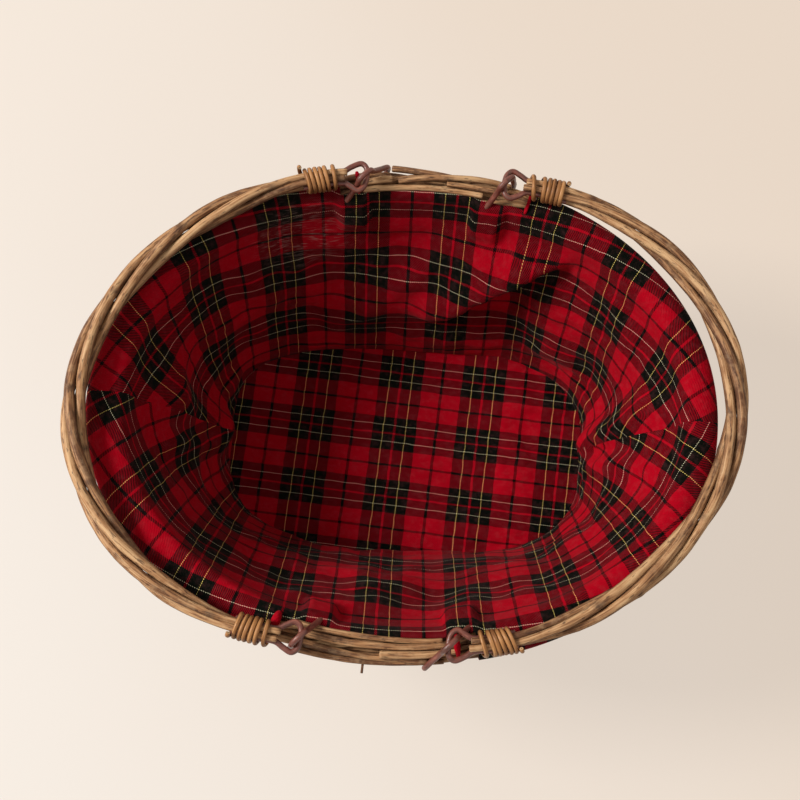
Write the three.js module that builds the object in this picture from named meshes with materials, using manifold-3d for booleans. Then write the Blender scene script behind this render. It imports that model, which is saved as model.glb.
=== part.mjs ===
// Oval willow gift basket with a cloth liner and two drop handles. Millimetres, +Z up.
// The origin is on the table under the middle of the basket. X is the long way of the oval.
import * as THREE from 'three';
import { mergeVertices } from 'three/addons/utils/BufferGeometryUtils.js';
import Module from 'manifold-3d';

const wasm = await Module();
wasm.setup();

// Fits
const CLEARANCE = 0.3;
const CLOTH_CLEARANCE = 0.75;

// Wall, measured on the line of its stakes
const RIM_LENGTH = 381;
const RIM_WIDTH = 303;
const RIM_SQUARENESS = 2.05;
const BASE_LENGTH = 276;
const BASE_WIDTH = 166;
const BASE_SQUARENESS = 2.9;
const BORDER_HEIGHT = 158;

// Stakes and the rods woven round them, worked two at a time as one band
const STAKE_COUNT = 24;
const STAKE_RADIUS = 2.5;
const SIDE_ROD = 4.6;
const SIDE_ROW_GAP = 0.7;
const DWELL_SHARE = 0.22;

// Border on the rim: willow strands twisted together into a flat rope
const BORDER_STRANDS = 4;
const BORDER_STRAND_RADIUS = 2.6;
const BORDER_SPREAD = 7;
const BORDER_RISE = 4;
const BORDER_TWISTS = 6;
const BORDER_STEPS = 54;

// Base: sticks crossed in the middle and splayed out like spokes, with flat bands woven round them
const STICK_RADIUS = 2.5;
const STICK_END_GAP = 1;
const LONG_STICK_SPACING = 6.2;
const CROSS_STICK_SPACING = 35.5;
const SPOKE_COUNT = 12;
const BASE_BAND_WIDTH = 4.5;
const BASE_BAND_THICKNESS = 3.6;
const BASE_BAND_SPACING = 5.9;
const BASE_CORE = 22;

// Wire of the hinges
const WIRE_RADIUS = 1.9;
const LINK_TURN = THREE.MathUtils.degToRad(45);
const EYE_WIDTH = 9.2;
const LEG_LENGTH = 41;
const LEG_SPACING = 4.25;
const WIRE_STEPS = 22;

// Handles, folded out flat on the rim
const HINGE_X = 46;
const HINGE_INSET = 2.5;
const HINGE_SKEW = 0.08;
const HANDLE_REACH = 163;
const HANDLE_ROUNDNESS = 1.9;
const HANDLE_RODS = 4;
const HANDLE_ROD_RADIUS = 3.2;
const HANDLE_ROD_TIP = 2;
const HANDLE_TWISTS = 1.5;
const HANDLE_START = 12;
const ROD_STAGGER = 1.6;
const ROD_STEPS = 24;

// Cane bound round each handle end
const CANE_RADIUS = 1.35;
const CANE_PITCH = 3.3;
const CANE_TURNS = 6;
const CANE_START = 19;
const CANE_STEPS = 12;
const CANE_LOOSE_TURN = 2.4;

// Cloth liner
const CLOTH = 1.5;
const CUFF_DROP = 42;
const LINER_STEPS = 48;
const NOTCH_WIDTH = 14;
const FOLD_DEPTH = 6;

const RIM_HALF = { x: RIM_LENGTH / 2, y: RIM_WIDTH / 2 };
const BASE_HALF = { x: BASE_LENGTH / 2, y: BASE_WIDTH / 2 };
const UP = new THREE.Vector3(0, 0, 1);
const { clamp, lerp, smoothstep } = THREE.MathUtils;

// Shared shapes

// A point of a rounded oval. Squareness 2 is an ellipse; a larger value fills the corners.
function ovalPoint(theta, halfX, halfY, squareness, z) {
  const cos = Math.cos(theta);
  const sin = Math.sin(theta);
  const sum = Math.abs(cos) ** squareness + Math.abs(sin) ** squareness;
  const reach = sum ** (-1 / squareness);
  return new THREE.Vector3(halfX * cos * reach, halfY * sin * reach, z);
}

// The wall's middle surface, which flares from the base to the border.
function wallPoint(theta, z) {
  const share = z / BORDER_HEIGHT;
  return ovalPoint(
    theta,
    lerp(BASE_HALF.x, RIM_HALF.x, share),
    lerp(BASE_HALF.y, RIM_HALF.y, share),
    lerp(BASE_SQUARENESS, RIM_SQUARENESS, share),
    z,
  );
}

// A wall point with the direction square to the wall and the level direction out of the basket.
function wallFrame(theta, z) {
  const step = 0.001;
  const around = wallPoint(theta + step, z).sub(wallPoint(theta - step, z));
  const rise = wallPoint(theta, z + 1).sub(wallPoint(theta, z - 1));
  return {
    point: wallPoint(theta, z),
    outward: new THREE.Vector3().crossVectors(around, rise).normalize(),
    level: new THREE.Vector3(around.y, -around.x, 0).normalize(),
  };
}

// A point at the same height that stands off the wall, outward or inward, square to it.
function offWall(theta, z, distance) {
  const { point, outward, level } = wallFrame(theta, z);
  return point.addScaledVector(level, distance / outward.dot(level));
}

// A closed body skinned over rings of points. Each ring turns right-handed about the way forward.
function skin(rings, closed) {
  const sides = rings[0].length;
  const positions = rings.flat().flatMap((point) => point.toArray());
  const index = [];
  const spans = closed ? rings.length : rings.length - 1;
  for (let ring = 0; ring < spans; ring++) {
    const here = ring * sides;
    const next = ((ring + 1) % rings.length) * sides;
    for (let side = 0; side < sides; side++) {
      const other = (side + 1) % sides;
      index.push(here + side, here + other, next + other);
      index.push(here + side, next + other, next + side);
    }
  }
  if (!closed) {
    const last = (rings.length - 1) * sides;
    for (let side = 1; side < sides - 1; side++) {
      index.push(0, side + 1, side);
      index.push(last, last + side, last + side + 1);
    }
  }
  const geometry = new THREE.BufferGeometry();
  geometry.setAttribute('position', new THREE.Float32BufferAttribute(positions, 3));
  geometry.setIndex(index);
  return geometry;
}

// A rod swept along its stations: { point, across, radius } or, for a flat band, { thick, wide }.
function sweep(stations, sides, closed = false) {
  const count = stations.length;
  const rings = stations.map((station, place) => {
    const before = stations[closed ? (place + count - 1) % count : Math.max(place - 1, 0)];
    const after = stations[closed ? (place + 1) % count : Math.min(place + 1, count - 1)];
    const forward = new THREE.Vector3().subVectors(after.point, before.point).normalize();
    const across = station.across.clone().addScaledVector(forward, -station.across.dot(forward)).normalize();
    const upright = new THREE.Vector3().crossVectors(forward, across);
    const corner = Math.SQRT1_2 * 2;
    const thick = station.radius ?? (station.thick / 2) * corner;
    const wide = station.radius ?? (station.wide / 2) * corner;
    return Array.from({ length: sides }, (_, side) => {
      const angle = ((side + 0.5) * 2 * Math.PI) / sides;
      return station.point
        .clone()
        .addScaledVector(across, thick * Math.cos(angle))
        .addScaledVector(upright, wide * Math.sin(angle));
    });
  });
  return skin(rings, closed);
}

function toManifold(geometry) {
  const bare = new THREE.BufferGeometry();
  bare.setAttribute('position', geometry.getAttribute('position').clone());
  if (geometry.index) bare.setIndex(geometry.index.clone());
  const merged = mergeVertices(bare, 1e-4);
  return new wasm.Manifold(
    new wasm.Mesh({
      numProp: 3,
      vertProperties: new Float32Array(merged.getAttribute('position').array),
      triVerts: new Uint32Array(merged.index.array),
    }),
  );
}

function fromManifold(solid) {
  const mesh = solid.getMesh();
  const geometry = new THREE.BufferGeometry();
  geometry.setAttribute('position', new THREE.Float32BufferAttribute(mesh.vertProperties, 3));
  geometry.setIndex(Array.from(mesh.triVerts));
  return geometry;
}

const MATERIALS = {
  willow: { color: 0xa8845a, roughness: 0.62, metalness: 0 },
  willowDark: { color: 0x8d6a45, roughness: 0.66, metalness: 0 },
  cane: { color: 0xb08c5e, roughness: 0.55, metalness: 0 },
  wire: { color: 0x6e4138, roughness: 0.5, metalness: 0.35 },
  tartan: { color: 0x8e1120, roughness: 0.9, metalness: 0 },
};

function piece(name, geometry, look) {
  const mesh = new THREE.Mesh(geometry, new THREE.MeshStandardMaterial(MATERIALS[look]));
  mesh.name = name;
  mesh.geometry.computeVertexNormals();
  return mesh;
}

const numbered = (name, place) => `${name}_${String(place + 1).padStart(2, '0')}`;

// Where the parts meet
const BORDER_HALF_WIDTH = BORDER_SPREAD + BORDER_STRAND_RADIUS;
const BORDER_HALF_HEIGHT = BORDER_RISE + BORDER_STRAND_RADIUS;
const WEAVE_TOP = BORDER_HEIGHT - BORDER_HALF_HEIGHT - 2 * WIRE_RADIUS - 2 * CLEARANCE;
const SIDE_OFFSET = STAKE_RADIUS + CLEARANCE + SIDE_ROD / 2;
const SIDE_FACE = SIDE_OFFSET + SIDE_ROD / 2;
const FLARE = Math.atan((RIM_HALF.y - BASE_HALF.y) / BORDER_HEIGHT);
const STICK_HEIGHT = STICK_RADIUS + CLEARANCE + BASE_BAND_THICKNESS;
const BASE_TOP = 2 * STICK_HEIGHT;
const RING_CORNER = 1 / Math.cos(Math.PI / 8);
const LINER_RING_WIDTH = (BORDER_HALF_WIDTH + CLOTH_CLEARANCE) * RING_CORNER;
const LINER_RING_HEIGHT = (BORDER_HALF_HEIGHT + CLOTH_CLEARANCE) * RING_CORNER;
const LINER_TOP = BORDER_HEIGHT + LINER_RING_HEIGHT + CLOTH;
const TIP_SPREAD = HANDLE_ROD_TIP + CLEARANCE / 2;
const TIP_RISE = Math.sqrt((HANDLE_ROD_TIP + WIRE_RADIUS + CLEARANCE) ** 2 - (LEG_SPACING - TIP_SPREAD) ** 2);
const TIP_BUNDLE = Math.hypot(TIP_SPREAD, TIP_RISE) + HANDLE_ROD_TIP;
const CANE_RING = (TIP_BUNDLE + CLEARANCE + CANE_RADIUS) / Math.cos(Math.PI / CANE_STEPS);
const HINGE_HEIGHT = LINER_TOP + CLEARANCE + CANE_RING + CANE_RADIUS;
const HINGE_Y = RIM_HALF.y - HINGE_INSET;
const LINK_TOP = (2 * WIRE_RADIUS + CLEARANCE) / Math.sin(LINK_TURN - Math.atan(HINGE_SKEW));

// Side of the basket

const STAKE_STEP = (2 * Math.PI) / STAKE_COUNT;

function stake(place) {
  const theta = (place + 0.5) * STAKE_STEP;
  const foot = CLEARANCE + STAKE_RADIUS * Math.sin(FLARE);
  const head = BORDER_HEIGHT - BORDER_HALF_HEIGHT - CLEARANCE - STAKE_RADIUS * Math.sin(FLARE);
  const spans = 4;
  const stations = Array.from({ length: spans + 1 }, (_, span) => {
    const { point, outward } = wallFrame(theta, lerp(foot, head, span / spans));
    return { point, across: outward, radius: STAKE_RADIUS };
  });
  return sweep(stations, 6);
}

// One of two bands that chase each other up the wall, half a turn apart. Each goes outside one
// stake and inside the next, and the other band does the opposite.
function sideBand(firstStake, firstSide) {
  const halfHeight = SIDE_ROD * Math.cos(FLARE) + (SIDE_ROD / 2 + SIDE_OFFSET) * Math.sin(FLARE);
  const first = CLEARANCE + halfHeight;
  const last = WEAVE_TOP - halfHeight;
  const rowHeight = (2 * SIDE_ROD + SIDE_ROW_GAP) * Math.cos(FLARE);
  const turns = Math.floor((last - first) / (2 * rowHeight));
  const crossings = turns * STAKE_COUNT;
  const stations = [];
  for (let crossing = 0; crossing <= crossings; crossing++) {
    const side = crossing % 2 === 0 ? firstSide : -firstSide;
    for (const lead of [-DWELL_SHARE, DWELL_SHARE]) {
      const travel = clamp((crossing + lead) / crossings, 0, 1);
      const theta = (firstStake + 0.5 + crossing + lead) * STAKE_STEP;
      const { point, outward } = wallFrame(theta, lerp(first, last, travel));
      point.addScaledVector(outward, side * SIDE_OFFSET);
      stations.push({ point, across: outward, thick: SIDE_ROD, wide: 2 * SIDE_ROD });
    }
  }
  return sweep(stations, 4);
}

function borderStrand(strand) {
  const stations = Array.from({ length: BORDER_STEPS }, (_, step) => {
    const theta = (step / BORDER_STEPS) * 2 * Math.PI;
    const phase = BORDER_TWISTS * theta + Math.PI / 4 + (strand / BORDER_STRANDS) * 2 * Math.PI;
    const { point, level } = wallFrame(theta, BORDER_HEIGHT);
    point.addScaledVector(level, BORDER_SPREAD * Math.cos(phase));
    point.addScaledVector(UP, BORDER_RISE * Math.sin(phase));
    return { point, across: UP, radius: BORDER_STRAND_RADIUS };
  });
  return sweep(stations, 5, true);
}

// Base

const CORE_LENGTH = BASE_HALF.x - BASE_HALF.y;
const SPOKE_STEP = (2 * Math.PI) / SPOKE_COUNT;
const WALL_INSIDE = SIDE_FACE / Math.cos(FLARE);
const BASE_EDGE = BASE_HALF.y - WALL_INSIDE - CLEARANCE;

// A point of the base: ovals that grow from the line where the spokes start.
function basePoint(theta, spread, z) {
  const squareness = lerp(2, BASE_SQUARENESS, spread / BASE_EDGE);
  return ovalPoint(theta, CORE_LENGTH + spread, spread, squareness, z);
}

// A stick straight through the middle, whose two ends follow two of the spokes.
function baseStick(middle, firstSpoke, lastSpoke) {
  const spreads = [BASE_EDGE, lerp(BASE_CORE, BASE_EDGE, 0.5), BASE_CORE - BASE_BAND_WIDTH / 2];
  const run = (spoke) => [
    offWall(spoke * SPOKE_STEP, STICK_HEIGHT, -SIDE_ROD - STICK_END_GAP),
    ...spreads.map((spread) => basePoint(spoke * SPOKE_STEP, spread, STICK_HEIGHT)),
  ];
  const points = [...run(firstSpoke), ...middle, ...run(lastSpoke).reverse()];
  return sweep(points.map((point) => ({ point, across: UP, radius: STICK_RADIUS })), 6);
}

// Long sticks pass over the cross sticks in the middle of the base.
function longStick(place) {
  const y = place * LONG_STICK_SPACING;
  const x = CROSS_STICK_SPACING + 2 * STICK_RADIUS + 3;
  const z = STICK_HEIGHT + STICK_RADIUS + CLEARANCE / 2;
  const middle = [new THREE.Vector3(-x, y, z), new THREE.Vector3(x, y, z)];
  return baseStick(middle, SPOKE_COUNT / 2 - place, place);
}

function crossStick(place) {
  const x = place * CROSS_STICK_SPACING;
  const y = LONG_STICK_SPACING + STICK_RADIUS + 1.5;
  const z = STICK_HEIGHT - STICK_RADIUS - CLEARANCE / 2;
  const middle = [new THREE.Vector3(x, -y, z), new THREE.Vector3(x, y, z)];
  return baseStick(middle, place - SPOKE_COUNT / 4, SPOKE_COUNT / 4 - place);
}

function baseBand(firstSpoke, firstSide) {
  const first = BASE_CORE + BASE_BAND_WIDTH / 2;
  const last = BASE_EDGE - BASE_BAND_WIDTH / 2;
  const turns = Math.floor((last - first) / (2 * BASE_BAND_SPACING));
  const crossings = turns * SPOKE_COUNT;
  const offset = STICK_RADIUS + CLEARANCE + BASE_BAND_THICKNESS / 2;
  const stations = [];
  for (let crossing = 0; crossing <= crossings; crossing++) {
    const side = crossing % 2 === 0 ? firstSide : -firstSide;
    for (const lead of [-DWELL_SHARE, DWELL_SHARE]) {
      const travel = clamp((crossing + lead) / crossings, 0, 1);
      const theta = (firstSpoke + crossing + lead) * SPOKE_STEP;
      const point = basePoint(theta, lerp(first, last, travel), STICK_HEIGHT + side * offset);
      stations.push({ point, across: UP, thick: BASE_BAND_THICKNESS, wide: BASE_BAND_WIDTH });
    }
  }
  return sweep(stations, 4);
}

// Handles

// The middle line of the right handle, from its front hinge round the end of the basket to the
// back one. Its two ends meet the border a little apart along the rim.
class HandleLine extends THREE.Curve {
  getPoint(t, target = new THREE.Vector3()) {
    const angle = (t - 0.5) * Math.PI;
    const power = 2 / HANDLE_ROUNDNESS;
    const y = Math.sign(angle) * HINGE_Y * Math.abs(Math.sin(angle)) ** power;
    const x = HINGE_X + HANDLE_REACH * Math.max(Math.cos(angle), 0) ** power + HINGE_SKEW * y;
    return target.set(x, y, HINGE_HEIGHT);
  }
}

const handleLine = new HandleLine();
handleLine.arcLengthDivisions = 400;
const HANDLE_LENGTH = handleLine.getLength();
const CANE_END = CANE_START + CANE_PITCH * CANE_TURNS + CANE_LOOSE_TURN;

// A place on the handle, at a distance along it and beside or above its middle line.
function handleFrame(distance) {
  const share = clamp(distance / HANDLE_LENGTH, 0, 1);
  const forward = handleLine.getTangentAt(share);
  return {
    point: handleLine.getPointAt(share),
    outward: new THREE.Vector3().crossVectors(forward, UP).normalize(),
  };
}

function handlePlace(distance, outward, above) {
  const frame = handleFrame(distance);
  return frame.point.addScaledVector(frame.outward, outward).addScaledVector(UP, above);
}

function handleRod(rod) {
  const stagger = (rod % HANDLE_RODS) * ROD_STAGGER;
  const first = HANDLE_START + stagger;
  const last = HANDLE_LENGTH - HANDLE_START - (HANDLE_RODS - 1) * ROD_STAGGER + stagger;
  const full = (HANDLE_ROD_RADIUS + CLEARANCE / 2) / Math.cos((1.2 * Math.PI * HANDLE_TWISTS) / ROD_STEPS);
  const stations = Array.from({ length: ROD_STEPS + 1 }, (_, step) => {
    const distance = lerp(first, last, step / ROD_STEPS);
    const fromEnd = Math.min(distance, HANDLE_LENGTH - distance);
    const swell = smoothstep(fromEnd, CANE_END, 2.6 * CANE_END);
    const twist = HANDLE_TWISTS * clamp((distance - CANE_END) / (HANDLE_LENGTH - 2 * CANE_END), 0, 1);
    const phase = 2 * Math.PI * (twist + (rod + 0.5) / HANDLE_RODS);
    const spread = lerp(TIP_SPREAD, full, swell) * Math.SQRT2 * Math.cos(phase);
    const rise = lerp(TIP_RISE, full, swell) * Math.SQRT2 * Math.sin(phase);
    return {
      point: handlePlace(distance, spread, rise),
      across: UP,
      radius: lerp(HANDLE_ROD_TIP, HANDLE_ROD_RADIUS, swell),
    };
  });
  return sweep(stations, 5);
}

// The wire eye at one end of the handle: a bar on the hinge axis and two legs in the bundle.
function handleEye(atBack) {
  const place = (distance, outward) =>
    atBack ? handlePlace(HANDLE_LENGTH - distance, outward, 0) : handlePlace(distance, outward, 0);
  const hinge = handleLine.getPoint(atBack ? 1 : 0);
  const along = new THREE.Vector3(HINGE_SKEW, 1, 0).normalize().multiplyScalar(atBack ? 1 : -1);
  const beside = (distance, side) =>
    hinge.clone().addScaledVector(along, side).add(new THREE.Vector3(distance, 0, 0));
  const leg = (side) => [
    place(LEG_LENGTH, side * LEG_SPACING),
    place(HANDLE_START + 14, side * LEG_SPACING),
    place(HANDLE_START + 2, side * LEG_SPACING),
    place(HANDLE_START - 3, side * (EYE_WIDTH + LEG_SPACING) * 0.52),
    beside(3.5, side * EYE_WIDTH),
    beside(0, side * (EYE_WIDTH - 3)),
  ];
  const path = new THREE.CatmullRomCurve3([...leg(1), ...leg(-1).reverse()], false, 'centripetal');
  const points = path.getSpacedPoints(WIRE_STEPS);
  return sweep(points.map((point) => ({ point, across: UP, radius: WIRE_RADIUS })), 5);
}

// A winding of cane over one handle end, with its last turn lying a little loose.
function binding(atBack) {
  const steps = Math.round(CANE_TURNS * CANE_STEPS);
  const stations = Array.from({ length: steps + 1 }, (_, step) => {
    const turn = step / CANE_STEPS;
    const loose = CANE_LOOSE_TURN * (1 - smoothstep(turn, 0, 1.2));
    const distance = CANE_START + CANE_LOOSE_TURN + CANE_PITCH * turn - loose;
    const angle = 2 * Math.PI * turn;
    const frame = handleFrame(atBack ? HANDLE_LENGTH - distance : distance);
    const radial = frame.outward.clone().multiplyScalar(Math.cos(angle)).addScaledVector(UP, Math.sin(angle));
    return {
      point: frame.point.clone().addScaledVector(radial, CANE_RING),
      across: radial,
      radius: CANE_RADIUS,
    };
  });
  return { stations, geometry: sweep(stations, 4) };
}

// How far a level point is out from the middle of the basket: 1 on the border's middle line.
function rimShare(point) {
  const x = Math.abs(point.x / RIM_HALF.x) ** RIM_SQUARENESS;
  const y = Math.abs(point.y / RIM_HALF.y) ** RIM_SQUARENESS;
  return (x + y) ** (1 / RIM_SQUARENESS);
}

// A pear-shaped wire link round the border. Its narrow top holds the bar of a handle eye, and the
// plane it lies in is turned so that bar and border both pass through it.
function rimLink(hinge) {
  const along = new THREE.Vector3(Math.sin(LINK_TURN), Math.cos(LINK_TURN), 0);
  const at = (side, height) => hinge.clone().addScaledVector(along, side).addScaledVector(UP, height);
  let near = -RIM_HALF.y / 4;
  let far = RIM_HALF.y / 4;
  const outwardSign = Math.sign(hinge.y);
  for (let pass = 0; pass < 30; pass++) {
    const middle = (near + far) / 2;
    if ((rimShare(at(middle, 0)) - 1) * outwardSign < 0) near = middle;
    else far = middle;
  }
  const centre = near;
  const slope = new THREE.Vector2(
    rimShare(at(centre, 0).add(new THREE.Vector3(1, 0, 0))) - 1,
    rimShare(at(centre, 0).add(new THREE.Vector3(0, 1, 0))) - 1,
  ).normalize();
  const squareToBorder = Math.abs(slope.x * along.x + slope.y * along.y);
  const wide = (BORDER_HALF_WIDTH + CLEARANCE + WIRE_RADIUS) / squareToBorder;
  const drop = HINGE_HEIGHT - BORDER_HEIGHT;
  const low = BORDER_HALF_HEIGHT + CLEARANCE + WIRE_RADIUS;
  const half = (side) => [
    at(side * LINK_TOP * 0.75, LINK_TOP * 0.72),
    at(side * LINK_TOP * 1.03, -LINK_TOP * 0.05),
    at(lerp(side * LINK_TOP, centre + side * wide, 0.5), -drop * 0.45),
    at(centre + side * wide, -drop + low * 0.25),
    at(centre + side * wide * 0.93, -drop - low * 0.62),
    at(centre + side * wide * 0.5, -drop - low - 0.2),
  ];
  const outline = [at(0, LINK_TOP), ...half(1), at(centre, -drop - low), ...half(-1).reverse()];
  const path = new THREE.CatmullRomCurve3(outline, true, 'centripetal');
  const across = new THREE.Vector3().crossVectors(along, UP);
  const points = path.getSpacedPoints(WIRE_STEPS).slice(0, WIRE_STEPS);
  return sweep(points.map((point) => ({ point, across, radius: WIRE_RADIUS })), 5, true);
}

// Liner

const LINER_INSET = SIDE_FACE + CLOTH_CLEARANCE + CLOTH / 2;
const LINER_FLOOR = BASE_TOP + CLEARANCE;

// How far the cloth stands in from the wall: a soft diagonal fold in the back, a pucker at each end
// and a slack place low in the front.
function foldAt(theta, share) {
  const bump = (centre, width) => {
    const away = Math.atan2(Math.sin(theta - centre), Math.cos(theta - centre));
    return Math.exp(-((away / width) ** 2));
  };
  const belly = Math.sin(Math.PI * Math.min(Math.max(share, 0), 1));
  const back = bump(THREE.MathUtils.degToRad(62) + 0.35 * share, 0.16);
  const ends = bump(0.1, 0.12) + bump(Math.PI - 0.08, 0.12);
  const front = bump(-1.9, 0.5) * 0.5;
  return FOLD_DEPTH * belly * (back + 0.7 * ends + front);
}

// The cloth's section at one place round the basket: up the inside, over the border and down in a cuff.
function linerSection(theta) {
  const insideHeights = [LINER_FLOOR, 0, 0, WEAVE_TOP - 1].map((height, step, all) =>
    lerp(all[0], all[3], step / 3));
  const seen = [];
  const hidden = [];
  insideHeights.forEach((height, step) => {
    const { level } = wallFrame(theta, height);
    const middle = offWall(theta, height, -LINER_INSET).addScaledVector(level, -foldAt(theta, step / 3));
    seen.push(middle.clone().addScaledVector(level, -CLOTH / 2));
    hidden.push(middle.clone().addScaledVector(level, CLOTH / 2));
  });
  const border = wallFrame(theta, BORDER_HEIGHT);
  for (let step = 0; step <= 4; step++) {
    const angle = Math.PI * (1 - step / 4);
    const ring = (extra) => border.point
      .clone()
      .addScaledVector(border.level, (LINER_RING_WIDTH + extra) * Math.cos(angle))
      .addScaledVector(UP, (LINER_RING_HEIGHT + extra) * Math.sin(angle));
    seen.push(ring(CLOTH));
    hidden.push(ring(0));
  }
  for (const height of [WEAVE_TOP - 1, BORDER_HEIGHT - CUFF_DROP]) {
    const { level } = wallFrame(theta, height);
    const middle = offWall(theta, height, LINER_INSET);
    seen.push(middle.clone().addScaledVector(level, CLOTH / 2));
    hidden.push(middle.clone().addScaledVector(level, -CLOTH / 2));
  }
  return [...seen, ...hidden.reverse()];
}

function boxBetween(low, high) {
  const size = new THREE.Vector3().subVectors(high, low);
  const middle = new THREE.Vector3().addVectors(low, high).multiplyScalar(0.5);
  return new THREE.BoxGeometry(size.x, size.y, size.z).translate(middle.x, middle.y, middle.z);
}

// Between the hinges the cloth stops on top of the border, and a notch lets each link's leg pass.
function linerWall(hinges) {
  const rings = Array.from({ length: LINER_STEPS }, (_, step) =>
    linerSection((step / LINER_STEPS) * 2 * Math.PI));
  let solid = toManifold(skin(rings, true));
  const linkReach = BORDER_HALF_WIDTH + 2 * WIRE_RADIUS + 3 * CLEARANCE;
  const edge = RIM_HALF.y - BORDER_SPREAD * 0.8;
  const outside = RIM_HALF.y + 40;
  const top = LINER_TOP + 10;
  const left = hinges[1].x - 4;
  const right = hinges[0].x + linkReach;
  const bare = boxBetween(
    new THREE.Vector3(left, edge, BORDER_HEIGHT - 2 * CUFF_DROP),
    new THREE.Vector3(right, outside, top),
  );
  const notches = [hinges[0], hinges[1]].map((hinge) => boxBetween(
    new THREE.Vector3(hinge.x - NOTCH_WIDTH - 2, RIM_HALF.y - 3 * BORDER_HALF_WIDTH, WEAVE_TOP - 2.5),
    new THREE.Vector3(hinge.x - 2, outside, top),
  ));
  for (const cut of [bare, ...notches]) {
    solid = solid.subtract(toManifold(cut));
    solid = solid.subtract(toManifold(cut.clone().rotateZ(Math.PI)));
  }
  return fromManifold(solid);
}

function linerFloor() {
  const inset = LINER_INSET + CLOTH / 2 + CLEARANCE;
  const outline = new THREE.Shape(Array.from({ length: LINER_STEPS }, (_, step) => {
    const point = offWall((step / LINER_STEPS) * 2 * Math.PI, LINER_FLOOR, -inset);
    return new THREE.Vector2(point.x, point.y);
  }));
  const sheet = new THREE.ExtrudeGeometry(outline, { depth: CLOTH, bevelEnabled: false });
  return sheet.translate(0, 0, LINER_FLOOR);
}

// The basket put together

const basket = new THREE.Group();
for (const place of [-1, 0, 1]) {
  basket.add(piece(numbered('base_long_stick', place + 1), longStick(place), 'willowDark'));
}
for (const place of [-1, 0, 1]) {
  basket.add(piece(numbered('base_cross_stick', place + 1), crossStick(place), 'willowDark'));
}
basket.add(piece('base_weave_01', baseBand(0, 1), 'willow'));
basket.add(piece('base_weave_02', baseBand(SPOKE_COUNT / 2, -1), 'willow'));
for (let place = 0; place < STAKE_COUNT; place++) {
  basket.add(piece(numbered('stake', place), stake(place), 'willowDark'));
}
basket.add(piece('side_weave_01', sideBand(0, 1), 'willow'));
basket.add(piece('side_weave_02', sideBand(STAKE_COUNT / 2, -1), 'willow'));
for (let strand = 0; strand < BORDER_STRANDS; strand++) {
  basket.add(piece(numbered('border_strand', strand), borderStrand(strand), 'willow'));
}

// Hinges of the right handle at the back and front, then of the left handle, half a turn round
const rightBack = handleLine.getPoint(1);
const rightFront = handleLine.getPoint(0);
const halfTurn = (point) => new THREE.Vector3(-point.x, -point.y, point.z);
const leftBack = halfTurn(rightFront);
const leftFront = halfTurn(rightBack);
basket.add(piece('rim_link_right_back', rimLink(rightBack), 'wire'));
basket.add(piece('rim_link_right_front', rimLink(rightFront), 'wire'));
basket.add(piece('rim_link_left_back', rimLink(leftBack), 'wire'));
basket.add(piece('rim_link_left_front', rimLink(leftFront), 'wire'));
basket.add(piece('liner_wall', linerWall([rightBack, leftBack]), 'tartan'));
basket.add(piece('liner_floor', linerFloor(), 'tartan'));

// The left handle is the right one turned half round.
for (const [side, turn, ends] of [['right', 0, ['front', 'back']], ['left', Math.PI, ['back', 'front']]]) {
  const handle = new THREE.Group();
  handle.rotation.z = turn;
  for (let rod = 0; rod < HANDLE_RODS; rod++) {
    handle.add(piece(numbered(`handle_${side}_rod`, rod), handleRod(rod), 'willow'));
  }
  handle.add(piece(`handle_${side}_eye_${ends[0]}`, handleEye(false), 'wire'));
  handle.add(piece(`handle_${side}_eye_${ends[1]}`, handleEye(true), 'wire'));
  handle.add(piece(`handle_${side}_binding_${ends[0]}`, binding(false).geometry, 'cane'));
  handle.add(piece(`handle_${side}_binding_${ends[1]}`, binding(true).geometry, 'cane'));
  basket.add(handle);
}

// The least gap between two turns of a binding, taken on its stations.
function leastGap({ stations }) {
  let least = Infinity;
  stations.forEach((station, place) => {
    for (let other = place + Math.round(CANE_STEPS * 0.6); other < stations.length; other++) {
      least = Math.min(least, station.point.distanceTo(stations[other].point) - 2 * CANE_RADIUS);
    }
  });
  return least;
}
console.log(`Least gap between turns of a binding: ${leastGap(binding(false)).toFixed(2)} mm`);

export default basket;
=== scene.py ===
"""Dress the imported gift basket: willow work, bound handles, wire hinges and a tartan liner.

The frame holds the basket's bodies and hinges, and this script builds the looks round them. Every
length in the classes below is in millimetres, and becomes metres when a mesh is made.
"""

import logging
import math
from collections.abc import Iterable, Iterator, Sequence
from dataclasses import dataclass, field
from enum import Enum, IntEnum

import bpy
import numpy as np
from mathutils import Matrix, Vector


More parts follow.
